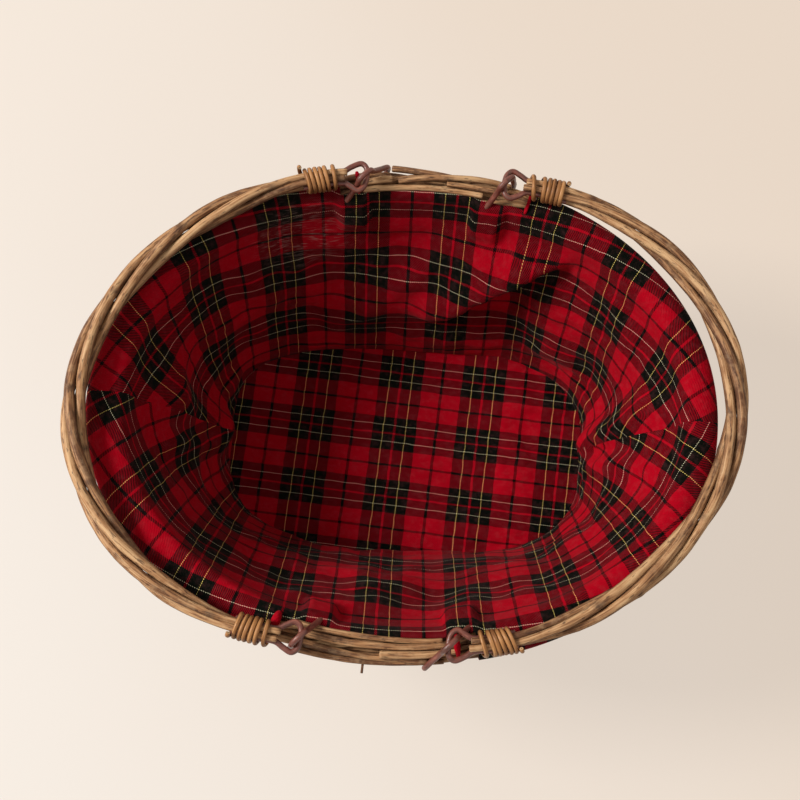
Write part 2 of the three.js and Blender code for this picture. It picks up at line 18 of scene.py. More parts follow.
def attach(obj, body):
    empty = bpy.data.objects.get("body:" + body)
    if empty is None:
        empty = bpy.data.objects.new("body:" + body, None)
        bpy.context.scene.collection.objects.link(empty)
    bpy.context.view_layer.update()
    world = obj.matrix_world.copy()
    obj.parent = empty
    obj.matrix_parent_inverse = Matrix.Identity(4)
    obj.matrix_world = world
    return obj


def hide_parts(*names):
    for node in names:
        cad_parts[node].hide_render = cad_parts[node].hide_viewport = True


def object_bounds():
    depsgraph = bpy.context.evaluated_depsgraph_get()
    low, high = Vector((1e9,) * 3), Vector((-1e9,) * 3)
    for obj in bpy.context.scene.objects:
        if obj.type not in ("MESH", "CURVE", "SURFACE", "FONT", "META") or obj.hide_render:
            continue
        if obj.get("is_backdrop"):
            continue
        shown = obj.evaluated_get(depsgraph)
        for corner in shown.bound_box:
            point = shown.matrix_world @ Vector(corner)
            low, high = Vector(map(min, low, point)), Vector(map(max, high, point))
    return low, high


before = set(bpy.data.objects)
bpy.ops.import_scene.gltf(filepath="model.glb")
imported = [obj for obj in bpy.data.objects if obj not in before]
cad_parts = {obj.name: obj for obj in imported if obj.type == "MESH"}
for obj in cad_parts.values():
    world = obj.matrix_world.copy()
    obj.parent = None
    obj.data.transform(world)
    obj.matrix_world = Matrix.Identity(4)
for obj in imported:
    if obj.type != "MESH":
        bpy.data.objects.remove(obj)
cad_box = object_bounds()

logging.basicConfig(level=logging.INFO, format="%(levelname)s %(message)s")
log = logging.getLogger("gift_basket")

Array = np.ndarray
Reals = np.ndarray | float
Material = bpy.types.Material
Node = bpy.types.Node
Piece = bpy.types.Object
Socket = bpy.types.NodeSocket
Tree = bpy.types.NodeTree
Inputs = dict[str | int, object]
Colour = tuple[int, int, int]
Pair = tuple[float, float]
Triple = tuple[float, float, float]

UP = np.array([0.0, 0.0, 1.0])
MM = 0.001
FULL_TURN = 2 * math.pi

# The mesh attributes that the finishes read
GRAIN = "grain"
KNOT = "knot"
TONE = "tone"
CLOTH = "cloth"

# How uneven a grown rod is: the longest and the shortest wave of its bends, its girth and its twist
SIDE_WAVES = (190, 35)
RISE_WAVES = (170, 30)
GIRTH_WAVES = (60, 14)
TWIST_WAVES = (240, 90)
OVAL = 0.8

# A knot's half length, how much it swells the rod, and the room before the first and between two
KNOT_LENGTH = (1.8, 3.0)
KNOT_SWELL = 0.14
FIRST_KNOT = (0.2, 0.9)
NEXT_KNOT = (0.6, 1.5)

# A cut end: its face as a share of the rod's section, and how far it stands out, as a share of its radius
CUT_SHARE = 0.78
CUT_REACH = 0.2

# The length over which a closed rod runs true on each side of its join
JOIN = 25.0
CURVE_STEPS = 24


class Seed(IntEnum):
    """The first seed of each kind of rod."""

    STAKE = 300
    STICK = 500
    BASE_WEAVE = 530
    STRAND = 600
    END = 650
    CORE = 670
    PEG = 690
    LINK = 700
    HANDLE = 800
    SIDE_WEAVE = 1000


# Numbers and paths


def unit(vectors: Array) -> Array:
    """Scale vectors to length one."""
    return vectors / np.maximum(np.linalg.norm(vectors, axis=-1, keepdims=True), 1e-9)


def between(low: Reals, high: Reals, share: Reals) -> Reals:
    """Mix two values: low at share 0 and high at share 1."""
    return low + (high - low) * share


def ease(value: Reals, low: float, high: float) -> Array:
    """Rise smoothly from 0 at low to 1 at high."""
    share = np.clip((np.asarray(value, float) - low) / (high - low), 0, 1)
    return share * share * (3 - 2 * share)


def hump(value: Reals, centre: Reals, width: float) -> Array:
    """Stand 1 high at the centre and fall away smoothly on both sides."""
    return np.exp(-(((np.asarray(value, float) - centre) / width) ** 2))


def half_turn(points: Array) -> Array:
    """Turn points half round about the vertical."""
    return points * np.array([-1.0, -1.0, 1.0])


class Waver:
    """A smooth random wave along a length, the same for the same seed."""

    def __init__(self, seed: int, longest: float, shortest: float, waves: int = 6) -> None:
        """Draw the waves.

        Args:
            seed: The number that fixes the draw.
            longest: The longest wave, in millimetres.
            shortest: The shortest wave, in millimetres.
            waves: How many waves are added up.
        """
        draw = np.random.default_rng(seed)
        self.rates = FULL_TURN / draw.uniform(shortest, longest, waves)
        self.phases = draw.uniform(0, FULL_TURN, waves)

    def __call__(self, distance: Array) -> Array:
        """Return the wave, about -1 to 1, at each distance."""
        angles = np.multiply.outer(np.asarray(distance, float), self.rates) + self.phases
        return np.sin(angles).sum(-1) / math.sqrt(2 * len(self.rates))


class Ripple:
    """Smooth random hills and hollows in space, the same for the same seed."""

    def __init__(
        self, seed: int, longest: float, shortest: float, stretch: Triple = (1.0, 1.0, 1.0), waves: int = 26
    ) -> None:
        """Draw the waves.

        Args:
            seed: The number that fixes the draw.
            longest: The longest wave, in millimetres.
            shortest: The shortest wave, in millimetres.
            stretch: How many times longer the waves are along each direction.
            waves: How many waves are added up.
        """
        draw = np.random.default_rng(seed)
        ways = unit(draw.normal(size=(waves, 3)))
        rates = FULL_TURN / draw.uniform(shortest, longest, waves)
        self.rates = (ways * rates[:, None] / np.asarray(stretch)).T
        self.phases = draw.uniform(0, FULL_TURN, waves)

    def __call__(self, points: Array) -> Array:
        """Return the height, about -1 to 1, at each point."""
        return np.sin(points @ self.rates + self.phases).sum(-1) / math.sqrt(len(self.phases))


def path_lengths(points: Array, closed: bool = False) -> Array:
    """Measure the distance along a path at each of its points.

    Args:
        points: The path's points.
        closed: Whether the path runs round to its start.

    Returns:
        The distances, and if closed one more, for the way back to the start.
    """
    steps = np.linalg.norm(np.diff(points, axis=0), axis=1)
    lengths = np.concatenate([[0.0], np.cumsum(steps)])
    return np.append(lengths, lengths[-1] + np.linalg.norm(points[0] - points[-1])) if closed else lengths


def smooth_path(corners: Sequence[Array], count: int, closed: bool = False) -> Array:
    """Draw an even, smooth path through corner points, as a centripetal Catmull-Rom curve.

    Args:
        corners: The points to pass through.
        count: How many points the path gets.
        closed: Whether the path runs round to its start.

    Returns:
        The path's points, evenly spaced.
    """
    corners = np.asarray(corners, float)
    if closed:
        ring = np.concatenate([corners[-1:], corners, corners[:2]])
    else:
        ring = np.concatenate([[2 * corners[0] - corners[1]], corners, [2 * corners[-1] - corners[-2]]])
    fine = []
    for one, two, three, four in zip(ring, ring[1:], ring[2:], ring[3:]):
        layer = [one, two, three, four]
        knots = np.cumsum([0.0, *(math.sqrt(np.linalg.norm(b - a)) for a, b in zip(layer, layer[1:]))])
        t = np.linspace(knots[1], knots[2], CURVE_STEPS, endpoint=False)[:, None]
        for first, span in ((0, 1), (0, 2), (1, 1)):
            layer = [
                (high - t) / (high - low) * before + (t - low) / (high - low) * after
                for before, after, low, high in zip(layer, layer[1:], knots[first:], knots[first + span:])
            ]
        fine.extend(layer)
    drawn = np.concatenate([*fine, corners[:1] if closed else corners[-1:]])
    lengths = path_lengths(drawn)
    wanted = np.linspace(0, lengths[-1], count + 1)[:-1] if closed else np.linspace(0, lengths[-1], count)
    return np.stack([np.interp(wanted, lengths, drawn[:, axis]) for axis in range(3)], axis=1)


# Meshes


def add_object(name: str, data: bpy.types.ID) -> Piece:
    """Add an object to the scene."""
    obj = bpy.data.objects.new(name, data)
    bpy.context.scene.collection.objects.link(obj)
    return obj


@dataclass
class MeshSketch:
    """Points and faces gathered for one piece, in millimetres."""

    points: list[Array] = field(default_factory=list)
    quads: list[Array] = field(default_factory=list)
    caps: list[tuple[int, ...]] = field(default_factory=list)
    grains: list[Array] = field(default_factory=list)
    knots: list[Array] = field(default_factory=list)
    tones: list[Array] = field(default_factory=list)
    count: int = 0

    def add_points(self, points: Array, grain: Array, knot: Array, tone: float) -> int:
        """Add points.

        Args:
            points: The points.
            grain: Their places in the rod: two across it and one along it.
            knot: How strong a knot is at each.
            tone: How pale or dark the rod is.

        Returns:
            The number of the first new point.
        """
        first = self.count
        self.points.append(points)
        self.grains.append(grain)
        self.knots.append(knot)
        self.tones.append(np.full(len(points), tone))
        self.count += len(points)
        return first

    def build(self, name: str) -> Piece:
        """Make the piece in the scene, in metres. Its caps get the second material.

        Args:
            name: The piece's name.

        Returns:
            The new object.
        """
        quads = np.concatenate(self.quads)
        faces = quads.tolist() + [list(cap) for cap in self.caps]
        mesh = bpy.data.meshes.new(name)
        mesh.from_pydata((np.concatenate(self.points) * MM).tolist(), [], faces)
        for label, kind, values in (
            (GRAIN, "FLOAT_VECTOR", self.grains),
            (KNOT, "FLOAT", self.knots),
            (TONE, "FLOAT", self.tones),
        ):
            layer = mesh.attributes.new(label, kind, "POINT")
            key = "vector" if kind == "FLOAT_VECTOR" else "value"
            layer.data.foreach_set(key, np.concatenate(values).astype(np.float32).ravel())
        materials = np.concatenate([np.zeros(len(quads), np.int32), np.ones(len(self.caps), np.int32)])
        mesh.polygons.foreach_set("material_index", materials)
        mesh.polygons.foreach_set("use_smooth", materials == 0)
        mesh.update()
        return add_object(name, mesh)


@dataclass
class Rod:
    """One round rod, cane or wire along a path, which is its middle line.

    Attributes:
        seed: The number that fixes its unevenness.
        closed: Whether it runs round to its start.
        flat: Its thickness along the reference direction, as a share of its width.
        rough: How uneven its thickness is, as a share of the radius.
        wander: How far its middle line strays from the path.
        knot_gap: The usual distance between two knots, or 0 for none.
        tone: How pale, towards 1, or dark, towards -1, the whole rod is.
    """

    path: Array
    radius: Reals
    seed: int = 0
    sides: int = 10
    closed: bool = False
    flat: float = 1.0
    reference: Array = field(default_factory=lambda: UP)
    rough: float = 0.0
    wander: float = 0.0
    knot_gap: float = 0.0
    tone: float = 0.0

    def frames(self, path: Array) -> tuple[Array, Array, Array]:
        """Find how the rod's sections are turned.

        Args:
            path: The points of its middle line.

        Returns:
            The way forward, the reference direction and the third direction at each point.
        """
        if self.closed:
            forward = unit(np.roll(path, -1, 0) - np.roll(path, 1, 0))
        else:
            forward = unit(np.gradient(path, axis=0))
        across = np.broadcast_to(self.reference, path.shape)
        across = unit(across - forward * (across * forward).sum(-1, keepdims=True))
        return forward, across, np.cross(forward, across)

    def calm(self, lengths: Array, whole: float) -> Array:
        """Return how free the rod is to stray: 1, and down to 0 where a closed rod meets itself."""
        if not self.closed:
            return np.ones(len(lengths))
        return ease(lengths, 0, JOIN) * (1 - ease(lengths, whole - JOIN, whole))

    def strayed(self, lengths: Array, calm: Array) -> Array:
        """Bend the path a little at random.

        Args:
            lengths: The distance along the path at each point.
            calm: How free the rod is to stray at each point.

        Returns:
            The bent path.
        """
        if not self.wander:
            return self.path
        _, across, third = self.frames(self.path)
        side = (Waver(self.seed + 11, *SIDE_WAVES)(lengths) * calm)[:, None]
        rise = (Waver(self.seed + 12, *RISE_WAVES)(lengths) * calm)[:, None]
        return self.path + (across * rise + third * side) * self.wander

    def knots(self, lengths: Array, angles: Array) -> Array:
        """Place the rod's knots.

        Args:
            lengths: The distance along the rod of each ring.
            angles: The angle round the rod of each side.

        Returns:
            How strong a knot is at each ring and side.
        """
        found = np.zeros((len(lengths), len(angles)))
        if self.knot_gap:
            draw = np.random.default_rng(self.seed + 900)
            place = draw.uniform(*FIRST_KNOT) * self.knot_gap
            while place < lengths[-1]:
                facing = np.clip(np.cos(angles - draw.uniform(0, FULL_TURN)), 0, 1) ** 1.5
                found += np.outer(hump(lengths, place, draw.uniform(*KNOT_LENGTH)), facing)
                place += draw.uniform(*NEXT_KNOT) * self.knot_gap
        return np.clip(found, 0, 1)

    def girth(self, lengths: Array, angles: Array, knots: Array, calm: Array) -> Array:
        """Make the rod's radius uneven.

        Args:
            lengths: The distance along the rod of each ring.
            angles: The angle round the rod of each side.
            knots: How strong a knot is at each ring and side.
            calm: How free the rod is to stray at each ring.

        Returns:
            The radius at each ring and side.
        """
        radius = np.broadcast_to(np.asarray(self.radius, float), (len(lengths),))[:, None]
        radius = radius * np.ones(len(angles))
        if self.rough:
            along = Waver(self.seed, *GIRTH_WAVES)(lengths)[:, None]
            twist = Waver(self.seed + 1, *TWIST_WAVES)(lengths)[:, None] * 2
            uneven = along + OVAL * np.cos(2 * (angles - twist))
            radius = radius * (1 + self.rough * calm[:, None] * uneven)
        return radius * (1 + KNOT_SWELL * knots)

    def add_to(self, sketch: MeshSketch) -> None:
        """Add the rod's skin, and an open rod's two cut ends, to a sketch.

        Args:
            sketch: The sketch.
        """
        count, sides = len(self.path), self.sides
        lengths = path_lengths(self.path, self.closed)
        whole = float(lengths[-1])
        lengths = lengths[:count]
        calm = self.calm(lengths, whole)
        path = self.strayed(lengths, calm)
        forward, across, third = self.frames(path)
        angles = (np.arange(sides) + 0.5) * FULL_TURN / sides
        knots = self.knots(lengths, angles)
        radius = self.girth(lengths, angles, knots, calm)[..., None]
        cos, sin = np.cos(angles), np.sin(angles)
        out = across[:, None] * (cos * self.flat)[:, None] + third[:, None] * sin[:, None]
        rings = path[:, None] + out * radius
        around = np.stack([cos, sin], -1)[None] * radius
        far = (lengths + (self.seed * 37.7) % 900)[:, None, None]
        grain = np.concatenate([around, np.broadcast_to(far, (count, sides, 1))], -1)
        first = sketch.add_points(rings.reshape(-1, 3), grain.reshape(-1, 3), knots.reshape(-1), self.tone)
        spans = np.arange(count if self.closed else count - 1)[:, None]
        here, after = spans * sides + first, (spans + 1) % count * sides + first
        side = np.arange(sides)[None]
        other = (side + 1) % sides
        corners = (here + side, here + other, after + other, after + side)
        sketch.quads.append(np.stack(corners, -1).reshape(-1, 4))
        if not self.closed:
            self.add_end(sketch, rings[0], -forward[0], grain[0], first, True)
            self.add_end(sketch, rings[-1], forward[-1], grain[-1], first + (count - 1) * sides, False)

    def add_end(
        self, sketch: MeshSketch, ring: Array, outward: Array, grain: Array, edge: int, start: bool
    ) -> None:
        """Close one end with a small worn edge and a flat cut face.

        Args:
            sketch: The sketch that the rod is in.
            ring: The points of the rod's last ring.
            outward: The direction that the end faces.
            grain: The grain places of the ring.
            edge: The number of the ring's first point.
            start: Whether this is the rod's first end.
        """
        middle = ring.mean(0)
        size = float(np.linalg.norm(ring - middle, axis=1).mean())
        cut = middle + (ring - middle) * CUT_SHARE + outward * size * CUT_REACH
        grain = grain * np.array([CUT_SHARE, CUT_SHARE, 1.0])
        inner = sketch.add_points(cut, grain, np.zeros(len(ring)), self.tone)
        side = np.arange(len(ring))
        other = (side + 1) % len(ring)
        worn = np.stack([edge + other, edge + side, inner + side, inner + other], -1)
        sketch.quads.append(worn if start else worn[:, ::-1])
        cap = tuple(int(inner + number) for number in side)
        sketch.caps.append(cap[::-1] if start else cap)


def cloth_mesh(name: str, points: Array, quads: Array, places: Array, thickness: float) -> Piece:
    """Make a sheet of cloth in the scene.

    Args:
        name: The piece's name.
        points: Its points, in millimetres.
        quads: The point numbers of its faces, four each.
        places: The place of each face corner on the flat cloth.
        thickness: How thick it is, half to each side of its points.

    Returns:
        The new object.
    """
    used, numbers = np.unique(quads, return_inverse=True)
    mesh = bpy.data.meshes.new(name)
    mesh.from_pydata((points[used] * MM).tolist(), [], numbers.reshape(quads.shape).tolist())
    layer = mesh.attributes.new(CLOTH, "FLOAT_VECTOR", "CORNER")
    layer.data.foreach_set("vector", places.astype(np.float32).ravel())
    mesh.polygons.foreach_set("use_smooth", np.ones(len(quads), bool))
    mesh.update()
    obj = add_object(name, mesh)
    solid = obj.modifiers.new("thickness", "SOLIDIFY")
    solid.thickness, solid.offset = thickness * MM, 0.0
    return obj


# Shader kit


def feed(tree: Tree, node: Node, values: Inputs) -> None:
    """Link a node's inputs to outputs, or set them to plain values.

    Args:
        tree: The tree that it is in.
        node: The node.
        values: The output or the value for each input, by its name or number.
    """
    for place, value in values.items():
        if isinstance(value, Socket):
            tree.links.new(value, node.inputs[place])
        else:
            node.inputs[place].default_value = value


def add_node(tree: Tree, kind: str, values: Inputs | None = None, **settings: object) -> Node:
    """Add a node to a tree.

    Args:
        tree: The tree.
        kind: The node's type.
        values: What its inputs are fed, by name or number.
        **settings: Its own settings.

    Returns:
        The new node.
    """
    node = tree.nodes.new(kind)
    for name, value in settings.items():
        setattr(node, name, value)
    feed(tree, node, values or {})
    return node


def vector_of(tree: Tree, operation: str, *values: object, kind: str = "ShaderNodeVectorMath") -> Node:
    """Add a Vector Math node, or another that does a sum.

    Args:
        tree: The tree to add it to.
        operation: The sum.
        *values: The outputs and plain values that it takes.
        kind: The node's type.

    Returns:
        The new node.
    """
    return add_node(tree, kind, dict(enumerate(values)), operation=operation)


def sum_of(tree: Tree, operation: str, *values: object) -> Socket:
    """Add a Math node and return its result."""
    return vector_of(tree, operation, *values, kind="ShaderNodeMath").outputs[0]


def parts_of(tree: Tree, vector: Socket) -> list[Socket]:
    """Return the three parts of a vector."""
    return list(add_node(tree, "ShaderNodeSeparateXYZ", {0: vector}).outputs)


def mixed(tree: Tree, share: object, first: object, second: object, mode: str = "MIX") -> Socket:
    """Mix two colours.

    Args:
        tree: The tree to do it in.
        share: How much of the second colour there is.
        first: The first colour.
        second: The second colour.
        mode: How they are mixed.

    Returns:
        The mixed colour.
    """
    values = {0: share, 6: first, 7: second}
    return add_node(tree, "ShaderNodeMix", values, data_type="RGBA", blend_type=mode).outputs[2]


def ranged(
    tree: Tree, value: Socket, low: float, high: float, to_low: float = 0.0, to_high: float = 1.0
) -> Socket:
    """Map a value smoothly from one range to another.

    Args:
        tree: The tree to do it in.
        value: The value.
        low: Where the first range starts.
        high: Where the first range ends.
        to_low: Where the new range starts.
        to_high: Where the new range ends.

    Returns:
        The mapped value.
    """
    values = {"Value": value, "From Min": low, "From Max": high, "To Min": to_low, "To Max": to_high}
    return add_node(tree, "ShaderNodeMapRange", values, interpolation_type="SMOOTHSTEP").outputs["Result"]


def speckle(tree: Tree, place: Socket, rate: Triple, detail: float = 2.0, rough: float = 0.55) -> Socket:
    """Add noise whose rate differs by direction.

    Args:
        tree: The tree to add it to.
        place: Where it is read.
        rate: How fast it changes along each direction, for each millimetre.
        detail: How many finer layers it has.
        rough: How strong the finer layers are.

    Returns:
        Its grey value.
    """
    scaled = add_node(tree, "ShaderNodeMapping", {"Vector": place, "Scale": rate}).outputs["Vector"]
    values = {"Vector": scaled, "Scale": 1.0, "Detail": detail, "Roughness": rough}
    return add_node(tree, "ShaderNodeTexNoise", values).outputs[0]


def screen(red: int, green: int, blue: int) -> tuple[float, float, float, float]:
    """Turn a screen colour into the linear one that a shader takes.

    Args:
        red: Its red part, 0 to 255.
        green: Its green part.
        blue: Its blue part.

    Returns:
        The linear colour, with its alpha.
    """
    shares = [part / 255 for part in (red, green, blue)]
    linear = [share / 12.92 if share <= 0.04045 else ((share + 0.055) / 1.055) ** 2.4 for share in shares]
    return (*linear, 1.0)


def new_group(name: str, inputs: dict[str, tuple[str, object]], outputs: dict[str, str]) -> Tree:
    """Make an empty node group with named sockets.

    Args:
        name: The group's name.
        inputs: Each input's socket type and default.
        outputs: Each output's socket type.

    Returns:
        The group's tree, with its input and output nodes.
    """
    tree = bpy.data.node_groups.new(name, "ShaderNodeTree")
    for label, (kind, default) in inputs.items():
        socket = tree.interface.new_socket(label, in_out="INPUT", socket_type="NodeSocket" + kind)
        if default is not None:
            socket.default_value = default
    for label, kind in outputs.items():
        tree.interface.new_socket(label, in_out="OUTPUT", socket_type="NodeSocket" + kind)
    add_node(tree, "NodeGroupInput", name="given")
    add_node(tree, "NodeGroupOutput", name="result")
    return tree


def placed(tree: Tree, group: Tree, values: Inputs) -> Node:
    """Place a node group in a tree, with its inputs fed."""
    return add_node(tree, "ShaderNodeGroup", values, node_tree=group)


def bark_group() -> Tree:
    """Build the streaks, flecks, patches and relief that run along a rod.

    Returns:
        The node group.
    """
    outputs = dict.fromkeys(("Streak", "Fleck", "Patch", "Relief"), "Float")
    tree = new_group("rod_bark", {"Grain": ("Vector", None)}, outputs)
    grain = tree.nodes["given"].outputs["Grain"]
    streak = speckle(tree, grain, (0.9, 0.9, 0.05), 3.0)
    fleck = ranged(tree, speckle(tree, grain, (0.75, 0.75, 0.14), 2.0, 0.6), 0.57, 0.67)
    patch = speckle(tree, grain, (0.22, 0.22, 0.03), 2.0, 0.5)
    fibre = speckle(tree, grain, (3.2, 3.2, 0.22), 2.0, 0.6)
    relief = sum_of(tree, "MULTIPLY_ADD", fibre, 0.4, streak)
    relief = sum_of(tree, "SUBTRACT", relief, sum_of(tree, "MULTIPLY", fleck, 0.5))
    feed(tree, tree.nodes["result"], dict(zip(outputs, (streak, fleck, patch, relief))))
    return tree


def dust_group() -> Tree:
    """Build a pale, broken film of dust and wear over a colour.

    Returns:
        The node group.
    """
    tree = new_group(
        "settled_dust",
        {
            "Colour": ("Color", (1, 1, 1, 1)),
            "Dust": ("Color", (1, 1, 1, 1)),
            "Amount": ("Float", 0.2),
            "Place": ("Vector", None),
            "Rate": ("Float", 0.2),
        },
        {"Colour": "Color", "Mask": "Float"},
    )
    given = tree.nodes["given"].outputs
    values = {"Vector": given["Place"], "Scale": given["Rate"], "Detail": 4.0, "Roughness": 0.65}
    grain = add_node(tree, "ShaderNodeTexNoise", values).outputs[0]
    mask = sum_of(tree, "MULTIPLY", ranged(tree, grain, 0.42, 0.72), given["Amount"])
    coloured = mixed(tree, mask, given["Colour"], given["Dust"])
    feed(tree, tree.nodes["result"], {"Colour": coloured, "Mask": mask})
    return tree


@dataclass(frozen=True)
class Sett:
    """The order of coloured threads in the tartan, from the middle of its dark band outward.

    The colours are screen shares and become linear once they are woven together. The two light threads
    never cover a place alone, so they may pass 1. The widths are in millimetres, and add up to half of
    the repeat, and twill is the distance between two ribs of the weave.
    """

    dark: Triple = (0.03, 0.055, 0.035)
    red: Triple = (0.7, 0.0, 0.13)
    gold: Triple = (1.06, 0.96, 0.54)
    cream: Triple = (1.0, 0.99, 0.84)
    black: Triple = (0.04, 0.01, 0.02)
    widths: tuple[tuple[str, float], ...] = (
        ("red", 0.75), ("dark", 7.35), ("light", 0.55), ("dark", 7.65), ("red", 13.8), ("black", 1.1),
    )
    twill: float = 1.45
    contrast: float = 0.44
    gamma: float = 2.2

    @property
    def half(self) -> float:
        """Half of the repeat, in millimetres."""
        return sum(width for _, width in self.widths)

    def threads(self, tree: Tree, place: Socket, light: Triple) -> Socket:
        """Colour the threads of one direction.

        Args:
            tree: The tree to do it in.
            place: The place across the threads.
            light: The colour of the light line.

        Returns:
            The colour of the thread that lies there.
        """
        colours = {"dark": self.dark, "red": self.red, "light": light, "black": self.black}
        folded = sum_of(tree, "DIVIDE", sum_of(tree, "PINGPONG", place, self.half), self.half)
        ramp = add_node(tree, "ShaderNodeValToRGB")
        ramp.color_ramp.interpolation = "CONSTANT"
        stops = ramp.color_ramp.elements
        stops.remove(stops[-1])
        start = 0.0
        for number, (name, width) in enumerate(self.widths):
            stop = stops.new(start / self.half) if number else stops[0]
            stop.color = (*colours[name], 1.0)
            start += width
        feed(tree, ramp, {"Fac": folded})
        return ramp.outputs["Color"]

    def group(self) -> Tree:
        """Build the woven cloth: one order of threads across it, crossed by the same order along it.

        Returns:
            The node group.
        """
        outputs = {"Colour": "Color", "Thread": "Float"}
        tree = new_group("tartan_weave", {"Cloth": ("Vector", None)}, outputs)
        across, along, _ = parts_of(tree, tree.nodes["given"].outputs["Cloth"])
        diagonal = sum_of(tree, "MULTIPLY", sum_of(tree, "ADD", across, along), FULL_TURN / self.twill)
        wave = sum_of(tree, "SINE", diagonal)
        share = sum_of(tree, "MULTIPLY_ADD", wave, self.contrast, 0.5)
        warp = self.threads(tree, across, self.gold)
        weft = self.threads(tree, along, self.cream)
        values = {"Color": mixed(tree, share, warp, weft), "Gamma": self.gamma}
        linear = add_node(tree, "ShaderNodeGamma", values).outputs["Color"]
        feed(tree, tree.nodes["result"], {"Colour": linear, "Thread": wave})
        return tree


class Effects:
    """The node groups that the finishes share, each built once."""

    def __init__(self) -> None:
        """Build the groups."""
        self.bark = bark_group()
        self.dust = dust_group()
        self.tartan = Sett().group()


def start_material(name: str) -> tuple[Material, Tree, Node]:
    """Make a material that holds a Principled shader.

    Args:
        name: The material's name.

    Returns:
        The material, its tree and the shader.
    """
    material = bpy.data.materials.new(name)
    material.use_nodes = True
    tree = material.node_tree
    return material, tree, tree.nodes["Principled BSDF"]


def attribute(tree: Tree, name: str) -> Node:
    """Read one of the mesh's own attributes."""
    return add_node(tree, "ShaderNodeAttribute", attribute_name=name)


def object_place(tree: Tree) -> Socket:
    """Return the place on the basket, in millimetres."""
    place = add_node(tree, "ShaderNodeTexCoord").outputs["Object"]
    return vector_of(tree, "MULTIPLY", place, (1 / MM, 1 / MM, 1 / MM)).outputs[0]


def raise_relief(tree: Tree, shader: Node, height: object, depth: float, strength: float) -> None:
    """Give a shader a relief.

    Args:
        tree: The shader's tree.
        shader: The shader.
        height: The relief's height, about 0 to 1.
        depth: Its depth at 1, in millimetres.
        strength: How much of it shows.
    """
    values = {"Strength": strength, "Distance": depth * MM, "Height": height}
    feed(tree, shader, {"Normal": add_node(tree, "ShaderNodeBump", values).outputs["Normal"]})


@dataclass(frozen=True)
class RodFinish:
    """Willow or cane: pale and dark streaks along the rod, flecks, knots and dust, and painted shade that
    darkens each rod's sides and undersides.

    The streaks, the wide patches and the rod's own tone add up to a shade, and the stops are the shades of
    dark, middle and light.
    """

    name: str
    light: Colour
    middle: Colour
    dark: Colour
    fleck: Colour
    roughness: float = 0.62
    fleck_amount: float = 0.75
    knot_amount: float = 0.85
    relief: float = 0.35
    dust: float = 0.25
    dust_paler: int = 18
    # How dark the painted shade gets on faces that turn from straight up to the side and under
    painted_side_shade: float = 0.55
    streak: Pair = (1.8, -1.1)
    patch: float = 1.25
    toning: float = 0.3
    stops: Triple = (0.14, 0.47, 0.86)

    def bare(self, tree: Tree, bark: Node) -> Socket:
        """Colour the rod before any dust lies on it.

        Args:
            tree: The material's tree.
            bark: The node of the bark's group.

        Returns:
            The colour.
        """
        tone = attribute(tree, TONE).outputs["Fac"]
        knot = attribute(tree, KNOT).outputs["Fac"]
        shade = sum_of(tree, "MULTIPLY_ADD", bark.outputs["Streak"], *self.streak)
        shade = sum_of(tree, "MULTIPLY_ADD", bark.outputs["Patch"], self.patch, shade)
        shade = sum_of(tree, "MULTIPLY_ADD", tone, self.toning, shade)
        ramp = add_node(tree, "ShaderNodeValToRGB")
        stops = ramp.color_ramp.elements
        stops[0].position, stops[0].color = self.stops[0], screen(*self.dark)
        stops[1].position, stops[1].color = self.stops[2], screen(*self.light)
        stops.new(self.stops[1]).color = screen(*self.middle)
        feed(tree, ramp, {"Fac": shade})
        marks = sum_of(tree, "MULTIPLY", bark.outputs["Fleck"], self.fleck_amount)
        flecked = mixed(tree, marks, ramp.outputs["Color"], screen(*self.fleck))
        return mixed(tree, sum_of(tree, "MULTIPLY", knot, self.knot_amount), flecked, screen(*self.fleck))

    def material(self, effects: Effects) -> Material:
        """Build the material.

        Args:
            effects: The shared node groups.

        Returns:
            The material.
        """
        material, tree, shader = start_material(self.name)
        bark = placed(tree, effects.bark, {"Grain": attribute(tree, GRAIN).outputs["Vector"]})
        pale = tuple(min(255, part + self.dust_paler) for part in self.light)
        values = {"Dust": screen(*pale), "Amount": self.dust, "Place": object_place(tree), "Rate": 0.16}
        dusty = placed(tree, effects.dust, {"Colour": self.bare(tree, bark), **values}).outputs["Colour"]
        # Painted shade: the colour darkens toward the fleck colour as the face turns from straight up to the
        # side and under
        facing = parts_of(tree, add_node(tree, "ShaderNodeTexCoord").outputs["Normal"])
        painted_side_shade_mask = ranged(tree, facing[2], 0.85, 0.1, 0.0, self.painted_side_shade)
        coloured = mixed(tree, painted_side_shade_mask, dusty, screen(*self.fleck))
        gloss = ranged(tree, bark.outputs["Streak"], 0.3, 0.7, self.roughness + 0.12, self.roughness - 0.1)
        feed(tree, shader, {"Base Color": coloured, "Roughness": gloss, "Specular IOR Level": 0.35})
        raise_relief(tree, shader, bark.outputs["Relief"], 0.5, self.relief)
        return material


